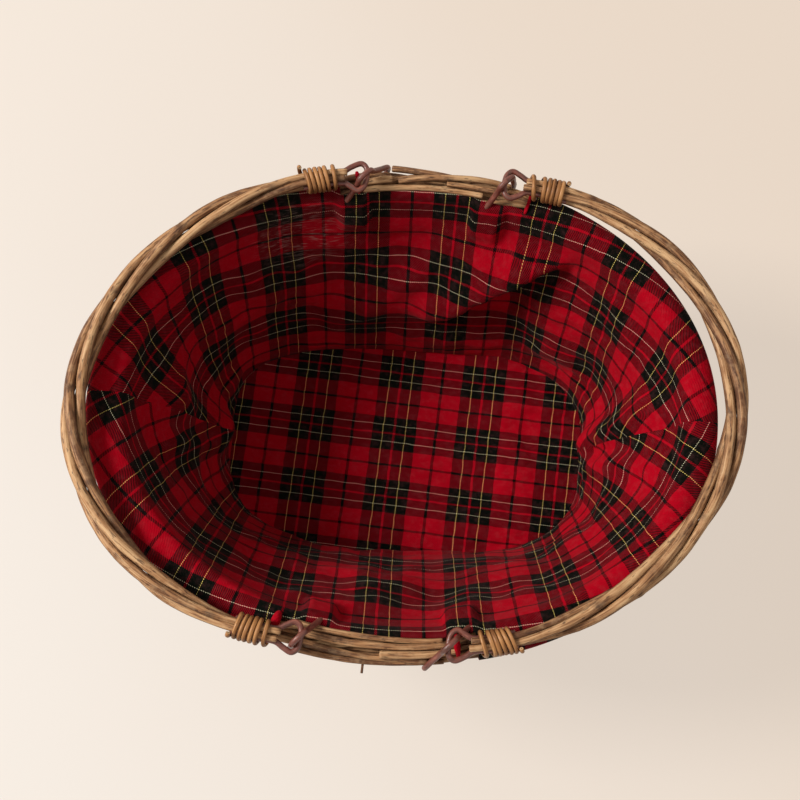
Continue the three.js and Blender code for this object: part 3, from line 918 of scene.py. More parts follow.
@dataclass(frozen=True)
class CutFinish:
    """The cut face of a rod: pale wood with rings and a dark pith."""

    name: str = "cut_wood"
    pale: Colour = (222, 190, 146)
    ring: Colour = (176, 134, 88)
    pith: Colour = (96, 66, 42)

    def material(self, effects: Effects) -> Material:
        """Build the material.

        Args:
            effects: The shared node groups; not used.

        Returns:
            The material.
        """
        material, tree, shader = start_material(self.name)
        grain = attribute(tree, GRAIN).outputs["Vector"]
        flat = vector_of(tree, "MULTIPLY", grain, (1.0, 1.0, 0.0)).outputs[0]
        reach = vector_of(tree, "LENGTH", flat).outputs["Value"]
        grain = speckle(tree, flat, (1.6, 1.6, 1.6), 3.0)
        rings = sum_of(tree, "SINE", sum_of(tree, "MULTIPLY", reach, 9.0))
        mask = ranged(tree, sum_of(tree, "ADD", rings, grain), 0.2, 1.6)
        coloured = mixed(tree, mask, screen(*self.pale), screen(*self.ring))
        coloured = mixed(tree, ranged(tree, reach, 0.55, 0.3), coloured, screen(*self.pith))
        feed(tree, shader, {"Base Color": coloured, "Roughness": ranged(tree, grain, 0.3, 0.7, 0.7, 0.9)})
        raise_relief(tree, shader, grain, 0.3, 0.3)
        return material


@dataclass(frozen=True)
class WireFinish:
    """Brown lacquered wire with dull rusty patches, and lighter patches in a painted highlight colour,
    placed at random.
    """

    name: str = "hinge_wire"
    lacquer: Colour = (112, 58, 47)
    painted_highlight: Colour = (148, 86, 70)
    rust: Colour = (82, 44, 34)
    dust: Colour = (176, 132, 112)
    dust_amount: float = 0.12

    def material(self, effects: Effects) -> Material:
        """Build the material.

        Args:
            effects: The shared node groups.

        Returns:
            The material.
        """
        material, tree, shader = start_material(self.name)
        grain = attribute(tree, GRAIN).outputs["Vector"]
        patch = speckle(tree, grain, (0.35, 0.35, 0.12), 3.0)
        pits = speckle(tree, grain, (2.4, 2.4, 1.2), 2.0)
        # Painted highlight: lighter patches in the colour of the wire's highlights, placed at random by
        # noise
        coloured = mixed(tree, ranged(tree, patch, 0.52, 0.7), screen(*self.lacquer), screen(*self.painted_highlight))
        coloured = mixed(tree, ranged(tree, patch, 0.46, 0.34), coloured, screen(*self.rust))
        place = object_place(tree)
        values = {"Dust": screen(*self.dust), "Amount": self.dust_amount, "Place": place, "Rate": 0.5}
        dusty = placed(tree, effects.dust, {"Colour": coloured, **values}).outputs["Colour"]
        gloss = ranged(tree, pits, 0.3, 0.75, 0.32, 0.55)
        feed(tree, shader, {"Base Color": dusty, "Roughness": gloss, "Specular IOR Level": 0.6})
        raise_relief(tree, shader, pits, 0.25, 0.3)
        return material


@dataclass(frozen=True)
class TartanFinish:
    """The liner's brushed cotton tartan, a little dusty, with one patch rubbed pale along its threads."""

    name: str = "tartan_cloth"
    dust: Colour = (190, 120, 125)
    dust_amount: float = 0.05
    scuff: Colour = (190, 158, 152)
    scuff_amount: float = 0.4
    scuff_place: Triple = (-48.0, 96.0, 0.0)
    scuff_reach: Triple = (46.0, 40.0, 5.0)
    sway: Triple = (1.6, 1.6, 0.0)

    def scuffs(self, tree: Tree, cloth: Socket) -> Socket:
        """Rub the patch.

        Args:
            tree: The material's tree.
            cloth: The place on the flat cloth.

        Returns:
            How rubbed the cloth is there.
        """
        apart = vector_of(tree, "SUBTRACT", cloth, self.scuff_place).outputs[0]
        scaled = vector_of(tree, "DIVIDE", apart, self.scuff_reach).outputs[0]
        reach = vector_of(tree, "LENGTH", scaled).outputs["Value"]
        streaks = ranged(tree, speckle(tree, cloth, (0.09, 0.75, 0.5), 3.0, 0.7), 0.5, 0.68)
        near = sum_of(tree, "MULTIPLY", streaks, ranged(tree, reach, 1.0, 0.35))
        return sum_of(tree, "MULTIPLY", near, self.scuff_amount)

    def material(self, effects: Effects) -> Material:
        """Build the material.

        Args:
            effects: The shared node groups.

        Returns:
            The material.
        """
        material, tree, shader = start_material(self.name)
        cloth = attribute(tree, CLOTH).outputs["Vector"]
        fray = speckle(tree, cloth, (0.8, 0.8, 0.8), 3.0)
        sway = add_node(tree, "ShaderNodeTexNoise", {"Vector": cloth, "Scale": 0.09})
        shifted = vector_of(tree, "MULTIPLY_ADD", sway.outputs["Color"], self.sway, cloth).outputs[0]
        woven = placed(tree, effects.tartan, {"Cloth": shifted})
        wear = ranged(tree, fray, 0.3, 0.75, 0.88, 1.04)
        worn = mixed(tree, 1.0, woven.outputs["Colour"], wear, "MULTIPLY")
        values = {"Dust": screen(*self.dust), "Amount": self.dust_amount, "Place": cloth, "Rate": 0.22}
        dusty = placed(tree, effects.dust, {"Colour": worn, **values})
        coloured = mixed(tree, self.scuffs(tree, cloth), dusty.outputs["Colour"], screen(*self.scuff))
        gloss = ranged(tree, fray, 0.3, 0.7, 0.78, 0.95)
        feed(tree, shader, {"Base Color": coloured, "Roughness": gloss, "Specular IOR Level": 0.08})
        feed(tree, shader, {"Sheen Weight": 0.02, "Sheen Roughness": 0.4})
        rib = sum_of(tree, "MULTIPLY", woven.outputs["Thread"], 0.35)
        raise_relief(tree, shader, sum_of(tree, "MULTIPLY_ADD", fray, 1.2, rib), 0.35, 0.6)
        return material


def looked_at(tree: Tree) -> Socket:
    """Tell the rays that end in the picture from those that only light it.

    Args:
        tree: The tree to do it in.

    Returns:
        1 for what the camera sees, straight, in a reflection or through glass, and 0 otherwise.
    """
    rays = add_node(tree, "ShaderNodeLightPath").outputs
    seen = sum_of(tree, "MAXIMUM", rays["Is Camera Ray"], rays["Is Glossy Ray"])
    return sum_of(tree, "MAXIMUM", seen, rays["Is Transmission Ray"])


@dataclass(frozen=True)
class FloorFinish:
    """The studio's plain pale floor, which partly shows its own even colour and not the light on it, with
    painted shade that darkens it toward the right and the back.
    """

    name: str = "studio_floor"
    colour: Colour = (248, 240, 231)
    painted_falloff_shade: Colour = (238, 222, 206)
    reach: float = 520.0
    glow: float = 0.74

    def material(self, effects: Effects) -> Material:
        """Build the material.

        Args:
            effects: The shared node groups; not used.

        Returns:
            The material.
        """
        material, tree, shader = start_material(self.name)
        place = object_place(tree)
        across, along, _ = parts_of(tree, place)
        # Painted shade: the colour darkens toward the right and the back, in place of the light's falloff
        slope = sum_of(tree, "MULTIPLY_ADD", along, 0.7, across)
        noise = speckle(tree, place, (0.002, 0.002, 0.002), 1.0)
        cloud = sum_of(tree, "MULTIPLY_ADD", noise, self.reach, slope)
        share = ranged(tree, cloud, -self.reach / 2, self.reach * 1.5)
        coloured = mixed(tree, share, screen(*self.colour), screen(*self.painted_falloff_shade))
        feed(tree, shader, {"Base Color": coloured, "Roughness": 0.9, "Specular IOR Level": 0.1})
        paper = add_node(tree, "ShaderNodeEmission", {"Color": coloured}).outputs[0]
        seen = sum_of(tree, "MULTIPLY", looked_at(tree), self.glow)
        both = add_node(tree, "ShaderNodeMixShader", {0: seen, 1: shader.outputs[0], 2: paper})
        feed(tree, tree.nodes["Material Output"], {"Surface": both.outputs[0]})
        return material


class Finishes:
    """Every material of the basket, made once: a skin for each of the record's slots, and the cut face."""

    def __init__(self) -> None:
        """Make the materials."""
        effects = Effects()
        willow = RodFinish("willow", (218, 178, 132), (178, 130, 88), (104, 68, 44), (60, 36, 26))
        dark = RodFinish("willow_dark", (176, 136, 96), (128, 92, 62), (78, 54, 38), (48, 34, 26), dust=0.15)
        cane = RodFinish(
            "cane", (206, 154, 100), (178, 124, 74), (126, 82, 46), (92, 58, 34),
            roughness=0.46, fleck_amount=0.3, relief=0.22, dust=0.1,
        )
        wire, tartan = WireFinish(), TartanFinish()
        skins = {"willow": willow, "willow_dark": dark, "cane": cane, "wire": wire, "tartan": tartan}
        self.skins = {slot: skin.material(effects) for slot, skin in skins.items()}
        self.cut = CutFinish().material(effects)
        self.floor = FloorFinish().material(effects)

    def dress(self, obj: Piece, slot: str, nodes: list[str], body: str = "basket", ends: int = 0) -> None:
        """Give a piece its materials, hang it on the body it rides on, and hide the CAD nodes that it stands
        for.

        Args:
            obj: The piece.
            slot: The record's slot that its finish belongs to.
            nodes: The CAD nodes that it stands for.
            body: The body it rides on.
            ends: How many cut ends its rods have.
        """
        skin = self.skins[slot]
        obj.data.materials.append(skin)
        if ends:
            obj.data.materials.append(skin if slot == "wire" else self.cut)
        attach(obj, body)
        if nodes:
            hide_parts(*nodes)

    def dress_rods(
        self, rods: Iterable[Rod], name: str, slot: str, nodes: list[str], body: str = "basket"
    ) -> None:
        """Build rods as one piece, and dress it.

        Args:
            rods: The rods.
            name: The piece's name.
            slot: The record's slot that its finish belongs to.
            nodes: The CAD nodes that it stands for.
            body: The body it rides on.
        """
        sketch = MeshSketch()
        for rod in rods:
            rod.add_to(sketch)
        self.dress(sketch.build(name), slot, nodes, body, len(sketch.caps))


def weaving(crossing: Array, first_side: int, dwell: float) -> Array:
    """Find the side of the stakes that a woven rod is on.

    Args:
        crossing: How many stakes it has passed.
        first_side: The side that it starts on, 1 or -1.
        dwell: The share of the way to the next stake along which it doesn't cross over yet.

    Returns:
        1 or -1, and between them on its way across.
    """
    whole = np.floor(crossing)
    turn = ease(crossing - whole, dwell, 1 - dwell)
    return first_side * np.where(whole % 2 == 0, 1, -1) * (1 - 2 * turn)


def numbered(name: str, count: int) -> list[str]:
    """Return a name followed by each number from 01."""
    return [f"{name}_{number + 1:02d}" for number in range(count)]


# The basket's form


@dataclass
class Part:
    """A part of the scene, with the materials to dress it in."""

    finishes: Finishes


@dataclass(frozen=True)
class Wall:
    """The flaring oval wall, measured on the line of its stakes."""

    rim_half: Pair = (190.5, 151.5)
    base_half: Pair = (138.0, 83.0)
    rim_squareness: float = 2.05
    base_squareness: float = 2.9
    height: float = 158.0

    def point(self, theta: Reals, z: Reals) -> Array:
        """Find the wall's middle surface.

        Args:
            theta: The angles.
            z: The heights.

        Returns:
            The points there.
        """
        theta, z = np.broadcast_arrays(np.asarray(theta, float), np.asarray(z, float))
        share = z / self.height
        half_x = between(self.base_half[0], self.rim_half[0], share)
        half_y = between(self.base_half[1], self.rim_half[1], share)
        power = between(self.base_squareness, self.rim_squareness, share)
        cos, sin = np.cos(theta), np.sin(theta)
        reach = (np.abs(cos) ** power + np.abs(sin) ** power) ** (-1 / power)
        return np.stack([half_x * cos * reach, half_y * sin * reach, z], -1)

    def frames(self, theta: Reals, z: Reals) -> tuple[Array, Array, Array]:
        """Find the wall and its directions.

        Args:
            theta: The angles.
            z: The heights.

        Returns:
            The points there, the direction square to the wall and the level one, both outward.
        """
        theta, z = np.asarray(theta, float), np.asarray(z, float)
        around = self.point(theta + 0.001, z) - self.point(theta - 0.001, z)
        level = np.stack([around[..., 1], -around[..., 0], np.zeros_like(around[..., 0])], -1)
        return self.point(theta, z), unit(np.cross(around, self.rise(theta, z))), unit(level)

    def rise(self, theta: Reals, z: Reals) -> Array:
        """Return the direction up the wall."""
        return unit(self.point(theta, z + 1) - self.point(theta, z - 1))

    def off(self, theta: Reals, z: Reals, distance: Reals) -> Array:
        """Find points that stand off the wall at the same height.

        Args:
            theta: The angles.
            z: The heights.
            distance: How far off they stand, square to the wall: outward, or inward if below 0.

        Returns:
            The points.
        """
        point, outward, level = self.frames(theta, z)
        slant = (outward * level).sum(-1, keepdims=True)
        return point + level * np.asarray(distance, float)[..., None] / slant

    def rim_share(self, point: Array) -> float:
        """Return how far out a level point is: 1 on the border's middle line."""
        shares = np.abs(np.array([point[0] / self.rim_half[0], point[1] / self.rim_half[1]]))
        return float((shares**self.rim_squareness).sum() ** (1 / self.rim_squareness))


class Side(Enum):
    """The two handles, named for the end of the basket that they lie round."""

    RIGHT = "right"
    LEFT = "left"

    @property
    def body(self) -> str:
        """The body that this handle's pieces ride on."""
        return f"{self.value}_handle"

    def place(self, points: Array) -> Array:
        """Turn points of the right handle into this handle's."""
        return points if self is Side.RIGHT else half_turn(points)

    def end(self, far: bool) -> str:
        """Name the end of this handle that is the right handle's far (back) or near (front) one."""
        return "back" if far == (self is Side.RIGHT) else "front"


# Willow sides, base and border


@dataclass
class SideWork(Part):
    """The stakes, and the two bands of paired rods that wind between them from base to border.

    A band passes crossings stakes on its way up. Each of its rods is made of lengths that pass so many pairs
    of stakes and end a little past one, as tail says in shares of the step between two stakes.
    """

    wall: Wall
    stakes: int = 24
    stake_radius: float = 2.5
    stake_range: Pair = (1.3, 150.1)
    stand_off: float = 5.1
    rod_radius: float = 2.2
    rod_gap: float = 2.3
    first_height: float = 7.46
    last_height: float = 139.84
    crossings: int = 168
    dwell: float = 0.22
    steps: int = 12
    lengths: tuple[int, int] = (13, 22)
    last_length: int = 12
    tail: Pair = (0.25, 0.06)

    def stake_path(self, place: int) -> Array:
        """Return the middle line of one stake."""
        theta = (place + 0.5) * FULL_TURN / self.stakes
        return self.wall.point(theta, np.linspace(*self.stake_range, 40))

    def weave_path(self, first_stake: int, first_side: int, above: float, start: float, end: float) -> Array:
        """Return the middle line of part of a woven rod.

        Args:
            first_stake: The stake that its band starts at.
            first_side: Whether the band starts outside, 1, or inside, -1.
            above: How far up the wall the rod lies from its band's middle.
            start: The crossing at which it starts.
            end: The crossing at which it ends.

        Returns:
            The points of its middle line.
        """
        crossing = np.arange(start, end + 1e-6, 1 / self.steps)
        theta = (first_stake + 0.5 + crossing) * FULL_TURN / self.stakes
        height = between(self.first_height, self.last_height, crossing / self.crossings)
        side = weaving(crossing, first_side, self.dwell)
        point, outward, _ = self.wall.frames(theta, height)
        return point + outward * (side * self.stand_off)[:, None] + self.wall.rise(theta, height) * above

    def band_rods(self, band: int, first_stake: int, first_side: int) -> Iterator[Rod]:
        """Make the two rods of one band, each of lengths that end behind a stake.

        Args:
            band: The band's number, from 0.
            first_stake: The stake that it starts at.
            first_side: Whether it starts outside, 1, or inside, -1.

        Yields:
            The lengths.
        """
        draw = np.random.default_rng(40 + band)
        for row, above in enumerate((-self.rod_gap, self.rod_gap)):
            start, mark, number = 0.0, 1 if first_side > 0 else 0, 0
            while start < self.crossings:
                mark += int(draw.integers(*self.lengths)) * 2
                end = self.crossings if mark > self.crossings - self.last_length else mark + self.tail[0]
                path = self.weave_path(first_stake, first_side, above, start, end)
                radius = self.rod_radius * np.linspace(1.02, 0.92, len(path)) * draw.uniform(0.96, 1.03)
                seed = Seed.SIDE_WEAVE + 200 * band + 40 * row + number
                tone = draw.uniform(-1, 1)
                yield Rod(path, radius, seed, 8, rough=0.03, wander=0.12, knot_gap=150, tone=tone)
                start, number = end + self.tail[1], number + 1

    def build(self) -> None:
        """Build and dress the stakes and the two bands."""
        draw = np.random.default_rng(3)
        rods = []
        for place in range(self.stakes):
            path = self.stake_path(place)
            radius = np.linspace(self.stake_radius, self.stake_radius * 0.9, len(path))
            tone = draw.uniform(-1, 0.6)
            rods.append(Rod(path, radius, Seed.STAKE + place, rough=0.03, knot_gap=90, tone=tone))
        self.finishes.dress_rods(rods, "stakes_willow", "willow_dark", numbered("stake", self.stakes))
        for band, (stake, side) in enumerate(((0, 1), (self.stakes // 2, -1))):
            name = f"side_weave_{band + 1:02d}"
            self.finishes.dress_rods(self.band_rods(band, stake, side), f"{name}_willow", "willow", [name])
        log.info("side work: %d stakes and 2 bands of paired rods", self.stakes)


@dataclass
class BaseWork(Part):
    """The oval base: long and cross sticks, with two rods woven round their spokes.

    Its rings lie round a straight bar in the middle, and a spread is a distance out from that bar.
    """

    wall: Wall
    stick_radius: float = 2.45
    stick_height: float = 6.4
    weave_offset: float = 4.6
    half_length: float = 55.0
    edge: float = 74.64
    squareness: Pair = (2.0, 2.9)
    tip_inset: float = 5.6
    bends: Pair = (48.32, 19.75)
    long_middle: Triple = (43.5, 6.2, 9.05)
    cross_middle: Triple = (35.5, 10.2, 3.75)
    spokes: int = 12
    spoke_step: float = FULL_TURN / 12
    spreads: Pair = (24.25, 72.39)
    crossings: int = 48
    dwell: float = 0.22
    weave_radius: float = 2.0
    weave_flat: float = 0.88

    def point(self, theta: Reals, spread: Reals, z: Reals) -> Array:
        """Find points of the base.

        Args:
            theta: The angles round it.
            spread: How far out from the middle bar they lie.
            z: Their heights.

        Returns:
            The points.
        """
        theta, spread, z = np.broadcast_arrays(*(np.asarray(value, float) for value in (theta, spread, z)))
        power = between(*self.squareness, spread / self.edge)
        cos, sin = np.cos(theta), np.sin(theta)
        reach = (np.abs(cos) ** power + np.abs(sin) ** power) ** (-1 / power)
        return np.stack([(self.half_length + spread) * cos * reach, spread * sin * reach, z], -1)

    def stick_path(self, middle: Sequence[Array], first_spoke: int, last_spoke: int) -> Array:
        """Draw a stick that follows one spoke in and another one out.

        Args:
            middle: The points that it passes at the crossing.
            first_spoke: The spoke that it comes in by.
            last_spoke: The spoke that it goes out by.

        Returns:
            The points of its middle line.
        """
        arms = []
        for spoke in (first_spoke, last_spoke):
            theta = spoke * self.spoke_step
            tip = self.wall.off(theta, self.stick_height, -self.tip_inset)
            arm = [self.point(theta, spread, self.stick_height) for spread in (self.edge, *self.bends)]
            arms.append([tip, *arm])
        return smooth_path([*arms[0], *middle, *arms[1][::-1]], 130)

    def weave_path(self, first_spoke: int, first_side: int) -> Array:
        """Draw one of the base's woven rods.

        Args:
            first_spoke: The spoke that it starts at.
            first_side: Whether it starts above, 1, or below, -1.

        Returns:
            The points of its middle line.
        """
        crossing = np.arange(0, self.crossings + 1e-6, 1 / 12)
        side = weaving(crossing, first_side, self.dwell)
        theta = (first_spoke + crossing) * self.spoke_step
        spread = between(*self.spreads, crossing / self.crossings)
        return self.point(theta, spread, self.stick_height + side * self.weave_offset)

    def build(self) -> None:
        """Build and dress the sticks and the weave."""
        whole, half, radius = self.spokes, self.spokes // 2, self.stick_radius
        sticks = {"long": [], "cross": []}
        for number, place in enumerate((-1, 0, 1)):
            x, y, z = self.long_middle
            middle = [np.array([end, y * place, z]) for end in (x, -x)]
            path = self.stick_path(middle, place % whole, half - place)
            seed = Seed.STICK + number
            sticks["long"].append(Rod(path, radius, seed, rough=0.02, knot_gap=120, tone=-0.3))
            x, y, z = self.cross_middle
            middle = [np.array([x * place, end, z]) for end in (y, -y)]
            path = self.stick_path(middle, half // 2 - place, (place - half // 2) % whole)
            sticks["cross"].append(Rod(path, radius, seed + 10, rough=0.02, knot_gap=120, tone=-0.1))
        for kind, rods in sticks.items():
            nodes = numbered(f"base_{kind}_stick", len(rods))
            self.finishes.dress_rods(rods, f"base_{kind}_sticks_willow", "willow_dark", nodes)
        for band, (spoke, side) in enumerate(((0, 1), (half, -1))):
            path, radius, flat = self.weave_path(spoke, side), self.weave_radius, self.weave_flat
            seed, name = Seed.BASE_WEAVE + band, f"base_weave_{band + 1:02d}"
            rod = Rod(path, radius, seed, 8, flat=flat, rough=0.03, knot_gap=140, tone=0.2)
            self.finishes.dress_rods([rod], f"{name}_willow", "willow", [name])
        log.info("base work: 6 sticks and 2 woven rods")


@dataclass
class Border(Part):
    """The rolled border: four strands that wind round each other."""

    wall: Wall
    strands: int = 4
    spread: float = 7.6
    rise: float = 4.0
    radius: float = 2.45
    turns: int = 6
    tones: tuple[float, ...] = (0.5, -0.6, 0.1, 0.8)

    def strand_path(self, strand: int) -> Array:
        """Draw one strand.

        Args:
            strand: Its number, from 0.

        Returns:
            The points of its closed middle line.
        """
        theta = np.linspace(0, FULL_TURN, 720, endpoint=False)
        phase = self.turns * theta + math.pi / 4 + strand * FULL_TURN / self.strands
        point, _, level = self.wall.frames(theta, self.wall.height)
        out, above = self.spread * np.cos(phase), self.rise * np.sin(phase)
        return point + level * out[:, None] + UP * above[:, None]

    def build(self) -> None:
        """Build and dress the strands."""
        for strand, tone in enumerate(self.tones):
            path, seed = self.strand_path(strand), Seed.STRAND + strand
            name = f"border_strand_{strand + 1:02d}"
            rod = Rod(path, self.radius, seed, 10, True, rough=0.04, wander=0.25, knot_gap=85, tone=tone)
            self.finishes.dress_rods([rod], f"{name}_willow", "willow", [name])
        log.info("border: %d strands", self.strands)


@dataclass(frozen=True)
class BorderEnd:
    """One rod's end that lies along the top of the border, from one x to another.

    It lies so far outside the border's middle line, and is so thick, at its two ends.
    """

    front: bool
    start: float
    stop: float
    outward: Pair
    radius: Pair = (2.4, 2.0)
    lift: float = 0.0
    tone: float = 0.0


@dataclass
class BorderEnds(Part):
    """The rods' ends laid along the border, seen where the liner leaves it bare.

    The core fills the border's inside: each of its rods is given by how far out and up it lies and by its
    tone. Their mostly dark tones are painted shade for the gaps between the strands. The peg is one thin end
    that stands out under the border.
    """

    wall: Wall
    border: Border
    ends: tuple[BorderEnd, ...] = (
        BorderEnd(False, -16.0, 34.0, (10.2, 4.2), (2.3, 1.9), 0.0, -0.5),
        BorderEnd(False, -12.0, 60.0, (0.4, 8.4), (2.3, 1.9), 3.4, 0.3),
        BorderEnd(False, -36.0, 44.0, (-4.4, -3.4), (2.3, 2.0), 0.3, 0.6),
        BorderEnd(False, -17.0, -40.0, (1.2, -0.4), (2.7, 2.4), 0.0, 0.8),
        BorderEnd(False, 20.0, 56.0, (0.8, 1.6), (1.8, 2.2), 0.0, -0.3),
        BorderEnd(True, -62.0, 30.0, (-4.4, -4.0), (2.2, 1.7), 0.4, 0.3),
        BorderEnd(True, -54.0, 38.0, (0.4, -0.2), (2.5, 1.9), 0.5, 0.1),
        BorderEnd(True, -8.0, 38.0, (5.4, 3.6), (2.8, 2.0), 0.3, 0.8),
        BorderEnd(True, -60.0, 20.0, (5.6, 8.6), (2.1, 1.7), 0.0, -0.2),
        BorderEnd(True, -58.0, 30.0, (10.6, 9.4), (2.2, 1.5), 0.0, -0.8),
    )
    # The core's real filler rods; their mostly dark tones are painted shade for the gaps between the strands
    core: tuple[Triple, ...] = (
        (-6.4, -0.6, -0.9),
        (-3.8, 0.7, -0.4),
        (-1.2, -0.8, -1.0),
        (1.4, 0.5, -0.2),
        (4.0, -0.7, -0.9),
        (6.5, 0.4, -0.5),
    )
    core_reach: Pair = (-58.0, 86.0)
    core_sway: Pair = (0.8, 17.0)
    core_radius: float = 1.8
    peg_angle: float = 264.6
    peg_reach: Pair = (8.0, 17.5)
    peg_height: float = 160.0
    peg_radius: float = 0.8

    def along(self, front: bool, xs: Array, outward: Array, above: Array) -> Array:
        """Find points beside and above the border's middle line.

        Args:
            front: Whether they are on the front of the basket.
            xs: The x of the middle line there.
            outward: How far outside it they lie.
            above: How far above it they lie.

        Returns:
            The points.
        """
        thetas = np.linspace(0.02, math.pi - 0.02, 3000)
        rim = self.wall.point(thetas, self.wall.height)[:, 0]
        theta = np.interp(-xs if front else xs, rim[::-1], thetas[::-1]) + (math.pi if front else 0.0)
        point, _, level = self.wall.frames(theta, self.wall.height)
        return point + level * outward[:, None] + UP * above[:, None]

    def path(self, end: BorderEnd) -> tuple[Array, Array]:
        """Lay one end on the border's strands.

        Args:
            end: The end.

        Returns:
            Its middle line and its radius along it.
        """
        share = np.linspace(0, 1, 40)
        xs = between(end.start, end.stop, share)
        radius = between(*end.radius, share)
        outward = between(*end.outward, share)
        wide = self.border.spread + self.border.radius + radius
        tall = self.border.rise + self.border.radius + radius
        above = tall * np.sqrt(np.clip(1 - (outward / wide) ** 2, 0, 1)) + end.lift * np.sin(math.pi * share)
        return self.along(end.front, xs, outward, above), radius

    def build(self) -> None:
        """Build and dress the ends, the core and the peg as one piece."""
        rods = []
        for number, end in enumerate(self.ends):
            path, radius = self.path(end)
            seed = Seed.END + number
            rods.append(Rod(path, radius, seed, 12, rough=0.05, wander=0.35, knot_gap=60, tone=end.tone))
        xs = np.linspace(*self.core_reach, 60)
        for front in (False, True):
            for number, (outward, above, tone) in enumerate(self.core):
                stray = outward + self.core_sway[0] * np.sin(xs / self.core_sway[1] + number)
                path = self.along(front, -xs if front else xs, stray, np.full_like(xs, above))
                rods.append(Rod(path, self.core_radius, Seed.CORE + number, rough=0.05, tone=tone))
        point, _, level = self.wall.frames(math.radians(self.peg_angle), self.wall.height)
        reach = np.linspace(*self.peg_reach, 6)[:, None]
        path = point + level * reach + UP * (self.peg_height - self.wall.height)
        rods.append(Rod(path, self.peg_radius, Seed.PEG, rough=0.05, tone=-0.8))
        self.finishes.dress_rods(rods, "border_ends_willow", "willow", [])
        log.info("border ends: %d", len(self.ends))


# Hinges and handles


@dataclass
class RimLinks(Part):
    """The four pear-shaped wire links that hold the handles' eyes to the border."""

    wall: Wall
    hinge_height: float = 177.259
    hinge_y: float = 149.0
    hinge_x: Pair = (57.9, 34.1)
    wire: float = 1.9
    top: float = 6.32
    turn: float = math.pi / 4
    clearance: float = 0.3
    border_half: Pair = (9.6, 6.6)

    def path(self, hinge: Array) -> Array:
        """Draw the link that holds the eye at a hinge.

        Args:
            hinge: The hinge's place.

        Returns:
            The points of the link's closed middle line.
        """
        along = np.array([math.sin(self.turn), math.cos(self.turn), 0.0])

        def at(side: float, height: float) -> Array:
            """Return a point in the link's plane."""
            return hinge + along * side + UP * height

        sides = np.linspace(-self.hinge_y / 4, self.hinge_y / 4, 3001)
        shares = np.array([self.wall.rim_share(at(side, 0)) for side in sides])
        centre = sides[np.argmin(np.abs(shares - 1))]
        middle, share = at(centre, 0), self.wall.rim_share
        slope = np.array([share(middle + way) - share(middle - way) for way in 0.5 * np.eye(3)[:2]])
        square = abs(float(unit(slope) @ along[:2]))
        wide = (self.border_half[0] + self.clearance + self.wire) / square
        drop = self.hinge_height - self.wall.height
        low = self.border_half[1] + self.clearance + self.wire
        top = self.top

        def half(side: int) -> list[Array]:
            """Return one half of the outline, from the top down."""
            return [
                at(side * top * 0.75, top * 0.72),
                at(side * top * 1.03, -top * 0.05),
                at(between(side * top, centre + side * wide, 0.5), -drop * 0.45),
                at(centre + side * wide, -drop + low * 0.25),
                at(centre + side * wide * 0.93, -drop - low * 0.62),
                at(centre + side * wide * 0.5, -drop - low - 0.2),
            ]

        outline = [at(0, top), *half(1), at(centre, -drop - low), *half(-1)[::-1]]
        return smooth_path(outline, 110, closed=True)

    def build(self) -> None:
        """Build and dress the four links."""
        reference = np.array([math.cos(self.turn), -math.sin(self.turn), 0.0])
        seed = Seed.LINK
        for side in Side:
            for far, x in zip((True, False), self.hinge_x):
                hinge = side.place(np.array([x, self.hinge_y if far else -self.hinge_y, self.hinge_height]))
                name = f"rim_link_{side.value}_{side.end(far)}"
                rod = Rod(self.path(hinge), self.wire, seed, 14, True, reference=reference, wander=0.15)
                self.finishes.dress_rods([rod], f"{name}_wire", "wire", [name])
                seed += 20
        log.info("rim links: 4")


@dataclass(frozen=True)
class BindingLook:
    """How one binding of cane was wound, from its first turn to the tail that stands out."""

    turns: float = 6.0
    first: float = 19.0
    pitch: float = 3.1
    loose: float = 2.2
    slant: float = 0.12
    tail: float = 1.5
    seed: int = 1


